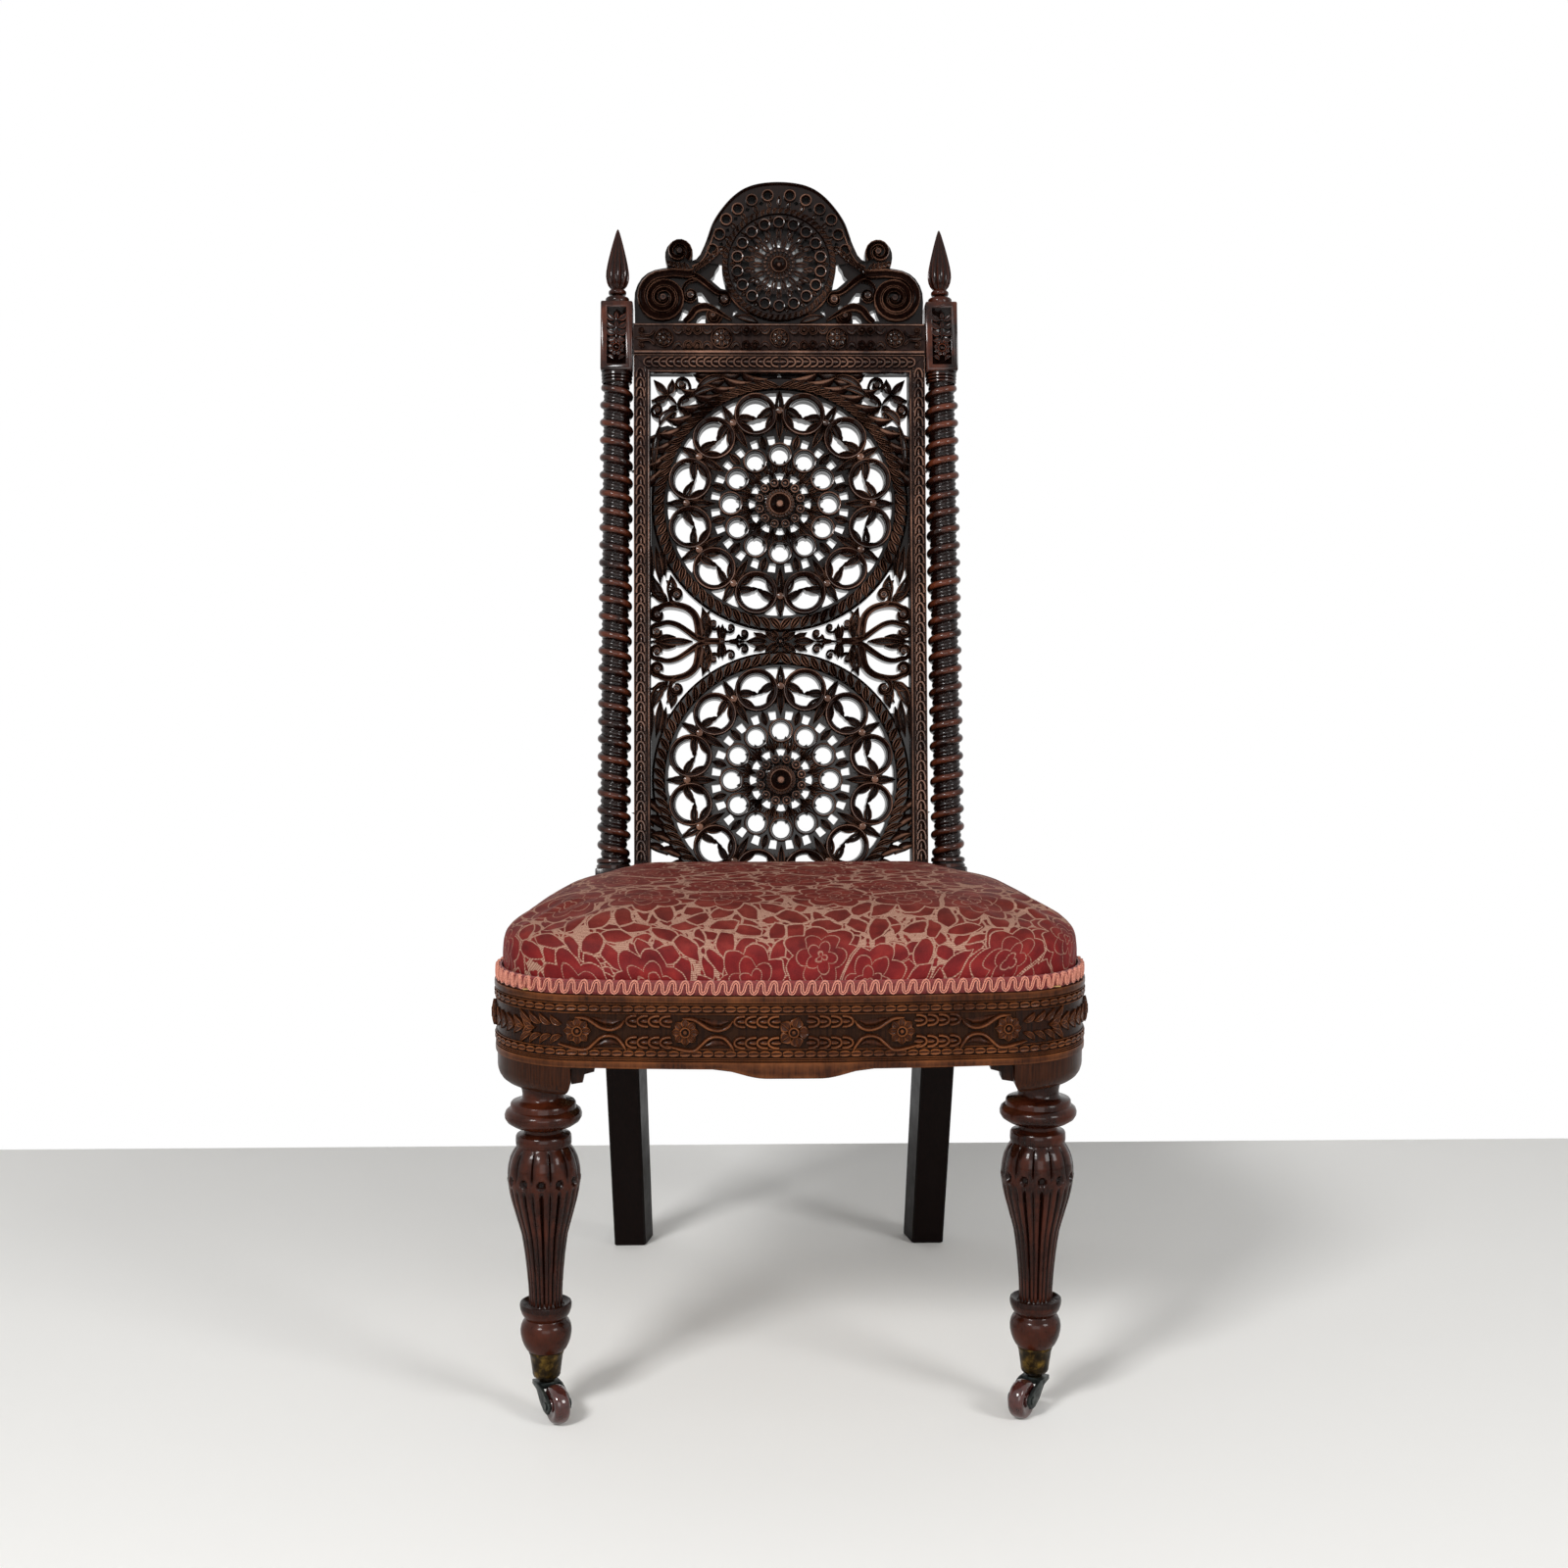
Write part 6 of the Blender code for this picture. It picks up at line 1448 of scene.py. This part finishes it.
def damask():
    """Silk damask: rose red blooms and leaves with pale outlines on a ribbed beige ground.

    The satin red stands a little proud and shines more than the ribbed ground. Its top is painted
    browner than its sides, with its red drawn thinner there, as painted light where the top faces the
    lamps. The pattern lies on the cloth's own flat places, in metres.
    """
    made, tree, shader = new_finish("silk_damask_woven")
    cloth = add_node(tree, "Attribute", attribute_name="cloth", out="Vector")
    bent = add_node(tree, "TexNoise", {0: cloth, "Scale": 1 / (22.22 * mm), "Detail": 2.0}, out="Color")
    wander = add_node(tree, "VectorMath", {0: bent, "Scale": 7 * mm}, operation="SCALE")
    drawn_on = add_node(tree, "VectorMath", (cloth, wander), operation="ADD")

    def about_cells(place, cell_mm, randomness):
        """Distance, bearing and distance to the edge in scattered cells, in metres."""
        cells = {"Vector": place, "Scale": 1 / (cell_mm * mm), "Randomness": randomness}
        cell = add_node(tree, "TexVoronoi", cells, voronoi_dimensions="2D").node.outputs
        edge = add_node(tree, "TexVoronoi", cells, voronoi_dimensions="2D", feature="DISTANCE_TO_EDGE")
        off = add_node(tree, "VectorMath", (place, cell["Position"]), operation="SUBTRACT")
        parts = add_node(tree, "SeparateXYZ", (off,)).node.outputs
        chance = add_node(tree, "SeparateXYZ", (cell["Color"],))
        spin = add_node(tree, "Math", (chance, math.tau), operation="MULTIPLY")
        bearing = add_node(tree, "Math", (parts[1], parts[0]), operation="ARCTAN2")
        return (add_node(tree, "VectorMath", (off,), operation="LENGTH", out="Value"),
                add_node(tree, "Math", (bearing, spin), operation="ADD"),
                add_node(tree, "Math", (edge, cell_mm * mm), operation="MULTIPLY"))

    def petals(bearing, count, depth, phase, reach_mm):
        """The edge of a bloom of round petals, as a distance from its middle in metres."""
        turned = add_node(tree, "Math", (bearing, phase), operation="ADD")
        turned = add_node(tree, "Math", (turned, count / 2), operation="MULTIPLY")
        lobe = add_node(tree, "Math", (turned,), operation="SINE")
        lobe = add_node(tree, "Math", (lobe,), operation="ABSOLUTE")
        return add_node(tree, "Math", (lobe, depth * reach_mm * mm, (1 - depth) * reach_mm * mm),
                        operation="MULTIPLY_ADD")

    def leaves(offset, cell_mm, long_mm, wide_mm):
        """How far inside a scattered lens-shaped leaf a place lies, in metres."""
        place = add_node(tree, "VectorMath", (drawn_on, (offset, offset * 0.6, 0)), operation="ADD")
        far, bearing, edge = about_cells(place, cell_mm, 0.8)
        along = add_node(tree, "Math", (bearing,), operation="COSINE")
        along = add_node(tree, "Math", (far, along), operation="MULTIPLY")
        along = add_node(tree, "Math", (along, long_mm * mm), operation="DIVIDE")
        along = add_node(tree, "Math", (along, along), operation="MULTIPLY")
        across = add_node(tree, "Math", (bearing,), operation="SINE")
        across = add_node(tree, "Math", (far, across), operation="MULTIPLY")
        across = add_node(tree, "Math", (across,), operation="ABSOLUTE")
        side = add_node(tree, "Math", (along, -wide_mm * mm, wide_mm * mm), operation="MULTIPLY_ADD")
        side = add_node(tree, "Math", (side, across), operation="SUBTRACT")
        clear = add_node(tree, "Math", (edge, 0.6 * mm), operation="SUBTRACT")
        return add_node(tree, "Math", (side, clear), operation="MINIMUM")

    far, bearing, edge = about_cells(drawn_on, 76.92, 0.75)
    rim = petals(bearing, 7, 0.26, 0.0, 35)
    bloom = add_node(tree, "Math", (rim, far), operation="SUBTRACT")
    clear = add_node(tree, "Math", (edge, 1.5 * mm), operation="SUBTRACT")
    bloom = add_node(tree, "Math", (bloom, clear), operation="MINIMUM")
    lines = 0.0
    for count, depth, phase, reach_mm, line_mm in ((6, 0.34, 0.5, 24, 0.8), (5, 0.40, 1.3, 15, 0.8),
                                                   (3, 0.35, 0.2, 7, 0.7)):
        ring = petals(bearing, count, depth, phase, reach_mm)
        gap = add_node(tree, "Math", (ring, far), operation="SUBTRACT")
        gap = add_node(tree, "Math", (gap,), operation="ABSOLUTE")
        line = add_node(tree, "MapRange", (gap, line_mm * mm * 0.4, line_mm * mm, 1.0, 0.0))
        lines = add_node(tree, "Math", (lines, line), operation="MAXIMUM")
    drawn = bloom
    for offset, cell_mm, long_mm, wide_mm, clear_mm in (
            (0.0, 23.256, 17.5, 8.4, 1.1), (0.311, 17.241, 13.0, 6.4, 1.0), (0.523, 11.111, 8.5, 3.6, 1.0)):
        room = add_node(tree, "Math", (-clear_mm * mm, drawn), operation="SUBTRACT")
        sprig = add_node(tree, "Math", (leaves(offset, cell_mm, long_mm, wide_mm), room),
                         operation="MINIMUM")
        drawn = add_node(tree, "Math", (drawn, sprig), operation="MAXIMUM")
    # Painted light: the cover's top, which faces the lamps, is painted browner and its red drawn thinner.
    place = add_node(tree, "TexCoord", out="Object")
    high = add_node(tree, "SeparateXYZ", (place,), out=2)
    top = add_node(tree, "MapRange", (high, 0.405, 0.435, 0.0, 1.0))
    drawn = add_node(tree, "Math", (top, -0.55 * mm, drawn), operation="MULTIPLY_ADD")
    red = add_node(tree, "MapRange", (drawn, -0.25 * mm, 0.25 * mm, 0.0, 1.0))
    inside = add_node(tree, "MapRange", (bloom, 0.0, 0.4 * mm, 0.0, 0.7))
    lines = add_node(tree, "Math", (lines, inside), operation="MULTIPLY")
    lines = add_node(tree, "Math", (1.0, lines), operation="SUBTRACT")
    red = add_node(tree, "Math", (red, lines), operation="MULTIPLY")
    # The ground's ribs are 1.6 mm apart, coarser than the real weft, so that they show.
    ribs = add_node(tree, "TexWave", {0: cloth, "Scale": math.pi / (10 * 1.603 * mm), "Distortion": 1.6,
                                      "Detail": 3.0, "Detail Scale": 3.0}, bands_direction="Y", out="Fac")
    speck = add_node(tree, "TexNoise", {0: cloth, "Scale": 1 / (0.909 * mm), "Detail": 2.0})
    tone = add_node(tree, "TexNoise", {0: cloth, "Scale": 1 / (16.67 * mm), "Detail": 3.0})
    ribs = add_node(tree, "Math", (ribs, 0.30), operation="MULTIPLY")
    ground = add_node(tree, "Math", (speck, 0.65, ribs), operation="MULTIPLY_ADD")
    beige = add_node(tree, "ValToRGB", (ground,), ((0.25, "6a3830"), (0.44, "926b5b"), (0.74, "b29480")))
    tone = add_node(tree, "Math", (tone, 0.7), operation="MULTIPLY")
    mottle = add_node(tree, "Math", (speck, 0.3, tone), operation="MULTIPLY_ADD")
    # The browner red is painted light on the top; the redder one is the sides' own colour.
    lit_top_red = add_node(tree, "ValToRGB", (mottle,), ((0.32, "421410"), (0.52, "5e211a"), (0.72, "78332a")))
    vivid = add_node(tree, "ValToRGB", (mottle,), ((0.32, "490d0f"), (0.52, "661516"), (0.72, "80241f")))
    rose = add_node(tree, "Mix", {0: top, 6: vivid, 7: lit_top_red}, data_type="RGBA", out=2)
    colour = add_node(tree, "Mix", {0: red, 6: beige, 7: rose}, data_type="RGBA", out=2)
    speck = add_node(tree, "Math", (speck, 0.5), operation="MULTIPLY")
    height = add_node(tree, "Math", (red, 0.6, speck), operation="MULTIPLY_ADD")
    bump = add_node(tree, "Bump", {"Height": height, "Strength": 0.5, "Distance": 0.35 * mm})
    gloss = add_node(tree, "MapRange", {0: red, 3: 0.80, 4: 0.62})
    feed(tree, shader, {"Base Color": colour, "Roughness": gloss, "Normal": bump,
                        "Specular IOR Level": 0.12})
    return made


# Each point's place on the cover as if it were laid flat, for the pattern.
mesh = cushion.data
found = np.empty(len(mesh.vertices) * 3, np.float32)
mesh.vertices.foreach_get("co", found)
found = found.reshape(-1, 3)
outward = found[:, :2] - middle * mm
outward /= np.maximum(np.linalg.norm(outward, axis=1), 1e-6)[:, None]
drop = np.maximum(0.43 - found[:, 2], 0) * 0.9
laid = np.column_stack([found[:, :2] + outward * drop[:, None], np.zeros(len(found))])
on_cloth = mesh.attributes.new("cloth", "FLOAT_VECTOR", "POINT")
on_cloth.data.foreach_set("vector", laid.astype(np.float32).ravel())
settle(cushion, damask(), stands_for=["seat_cushion"])

# Gimp. A braid glued round the seat's foot over the tacks: two silk cords wound up and down side
# by side in salmon, on a crimson ground of upright threads.
gimp = Carving(round_seat)
gimp_end, gimp_pitch, gimp_middle = 596.0, 10.35, 381.3
loops, loop_steps = int(2 * gimp_end / gimp_pitch), 14


def wound_cord(swing, half, lift, height, aside):
    """One cord that loops up and down along the braid's length, aside of the loops' middle line."""
    spine, tops = [], []
    for k in range(loops * loop_steps + 1):
        t = k / loop_steps
        turn = math.tau * t
        up = math.cos(turn)
        u = -gimp_end + gimp_pitch * (t + 0.055 * math.sin(2 * turn) + 0.06 * up)
        spine.append(complex(u, gimp_middle + swing * up))
        tops.append(height + lift * math.sin(turn))
    spine = np.array(spine)
    run = np.gradient(spine)
    spine = spine + 1j * run / abs(run) * aside
    gimp.strip(list(spine), [half] * len(spine), tops, roll_section, -2.2)


for aside in (-0.86, 0.86):
    wound_cord(4.8, 0.64, 0.5, 0.6, aside)
gimp_cord = gimp.finish("gimp_loops", 60)
thread = Carving(round_seat)
thread.strip([complex(-gimp_end + gimp_end * 2 * k / 240, gimp_middle - 1.0) for k in range(241)],
             [6.4] * 241, [-1.5] * 241, ((-1, 0.3, 0), (-0.8, 1.0, 0), (0.8, 1.0, 0), (1, 0.3, 0)), -4.4)
# The ground's upright threads, six to a loop, so that they show.
for k in range(6 * loops):
    low = complex(-gimp_end + gimp_pitch * k / 6, gimp_middle - 4.6)
    thread.strip([low, low + 4.6j, low + 9.2j], [0.3, 0.62, 0.3], [-0.7, -0.5, -0.7],
                 ((-1, 0.3, 0), (0, 1.0, 0), (1, 0.3, 0)), -1.6)
gimp_ground = thread.finish("gimp_ground", 60)


def spun(name, low, high, fibre_mm):
    """Spun silk thread: fibres bunched under a millimetre across, dull with a faint sheen."""
    made, tree, shader = new_finish(name)
    place = add_node(tree, "TexCoord", out="Object")
    fibre = add_node(tree, "TexNoise", {0: place, "Scale": 1 / (fibre_mm * mm), "Detail": 3.0})
    tint = add_node(tree, "ValToRGB", (fibre,), ((0.3, low), (0.7, high)))
    bump = add_node(tree, "Bump", {"Height": fibre, "Strength": 0.5, "Distance": 0.2 * mm})
    feed(tree, shader, {"Base Color": tint, "Normal": bump, "Roughness": 0.7, "Sheen Weight": 0.2})
    return made


settle(gimp_cord, spun("silk_gimp_salmon", "a8604e", "d28c76", 0.9),
       stands_for=["gimp_braid"])
settle(gimp_ground, spun("silk_gimp_crimson", "55130f", "8a2a2a", 0.7))

# Floor and backdrop. A plain pale floor that takes the chair's shadow, and a backdrop that camera
# rays, reflections and glass see as plain white. Both are see-through from behind, so that the
# chair can be looked at from below and from the back.
def seen_from_front(tree, surface):
    """Gives a material its surface, seen from the front alone."""
    behind = add_node(tree, "NewGeometry", out="Backfacing")
    shown = add_node(tree, "MixShader", (behind, surface, add_node(tree, "BsdfTransparent")))
    feed(tree, tree.nodes["Material Output"], {"Surface": shown})


def is_onlooker(tree):
    """1 for a ray of the camera, of a reflection or through glass."""
    ray = add_node(tree, "LightPath").node.outputs
    either = add_node(tree, "Math", (ray["Is Camera Ray"], ray["Is Glossy Ray"]), operation="MAXIMUM")
    return add_node(tree, "Math", (either, ray["Is Transmission Ray"]), operation="MAXIMUM")


bpy.ops.mesh.primitive_plane_add(size=24, location=(0, 0, 0))
floor = bpy.context.object
floor.name = "floor"
floor_paint, tree, shader = new_finish("floor_painted_pale")
feed(tree, shader, {"Base Color": linear("f2f1ee"), "Roughness": 0.9})
seen_from_front(tree, shader.outputs[0])
floor.data.materials.append(floor_paint)
bpy.ops.mesh.primitive_plane_add(size=24, location=(0, 0.62, 0), rotation=(math.pi / 2, 0, 0))
wall = bpy.context.object
wall.name = "wall"
bpy.ops.object.transform_apply(location=True, rotation=True, scale=True)
wall_paint, tree, shader = new_finish("paper_backdrop_white")
feed(tree, shader, {"Base Color": linear("a0a0a0"), "Roughness": 0.9})
glow = add_node(tree, "Emission", {"Color": linear("ffffff"), "Strength": 1.0})
seen_from_front(tree, add_node(tree, "MixShader", (is_onlooker(tree), shader.outputs[0], glow)))
wall.data.materials.append(wall_paint)

# Light and camera. A white room that lights the chair softly, three softboxes in front of it, and
# the camera at the photograph's height, distance and angle.
world = bpy.data.worlds.new("studio")
bpy.context.scene.world = world
world.use_nodes = True
level = add_node(world.node_tree, "MapRange", {0: is_onlooker(world.node_tree), 3: 0.28, 4: 1.0})
feed(world.node_tree, world.node_tree.nodes["Background"], {"Color": linear("ffffff"), "Strength": level})


def softbox(name, place, aim, size, power):
    """A rectangular lamp that faces a place."""
    lamp = bpy.data.lights.new(name, "AREA")
    lamp.shape = "RECTANGLE"
    lamp.size, lamp.size_y = size
    lamp.energy = power
    held = bpy.data.objects.new(name, lamp)
    bpy.context.scene.collection.objects.link(held)
    held.location = place
    held.rotation_euler = (Vector(aim) - Vector(place)).to_track_quat("-Z", "Y").to_euler()


softbox("key", (-1.5, -2.4, 2.3), (0, 0, 0.6), (0.8, 0.6), 72)
softbox("fill", (2.0, -2.0, 1.6), (0, 0, 0.5), (0.9, 0.9), 34)
softbox("front", (0.0, -3.0, 1.0), (0, 0, 0.5), (1.8, 1.2), 19)

eye = bpy.data.cameras.new("camera")
eye.lens = 49.5
eye.sensor_width = 36
camera = bpy.data.objects.new("camera", eye)
bpy.context.scene.collection.objects.link(camera)
camera.location = (-0.053, -1.989, 0.740)
camera.rotation_euler = (math.radians(90 - 6.35), 0, math.radians(-1.5))
bpy.context.scene.camera = camera
bpy.context.scene.view_settings.view_transform = "Standard"
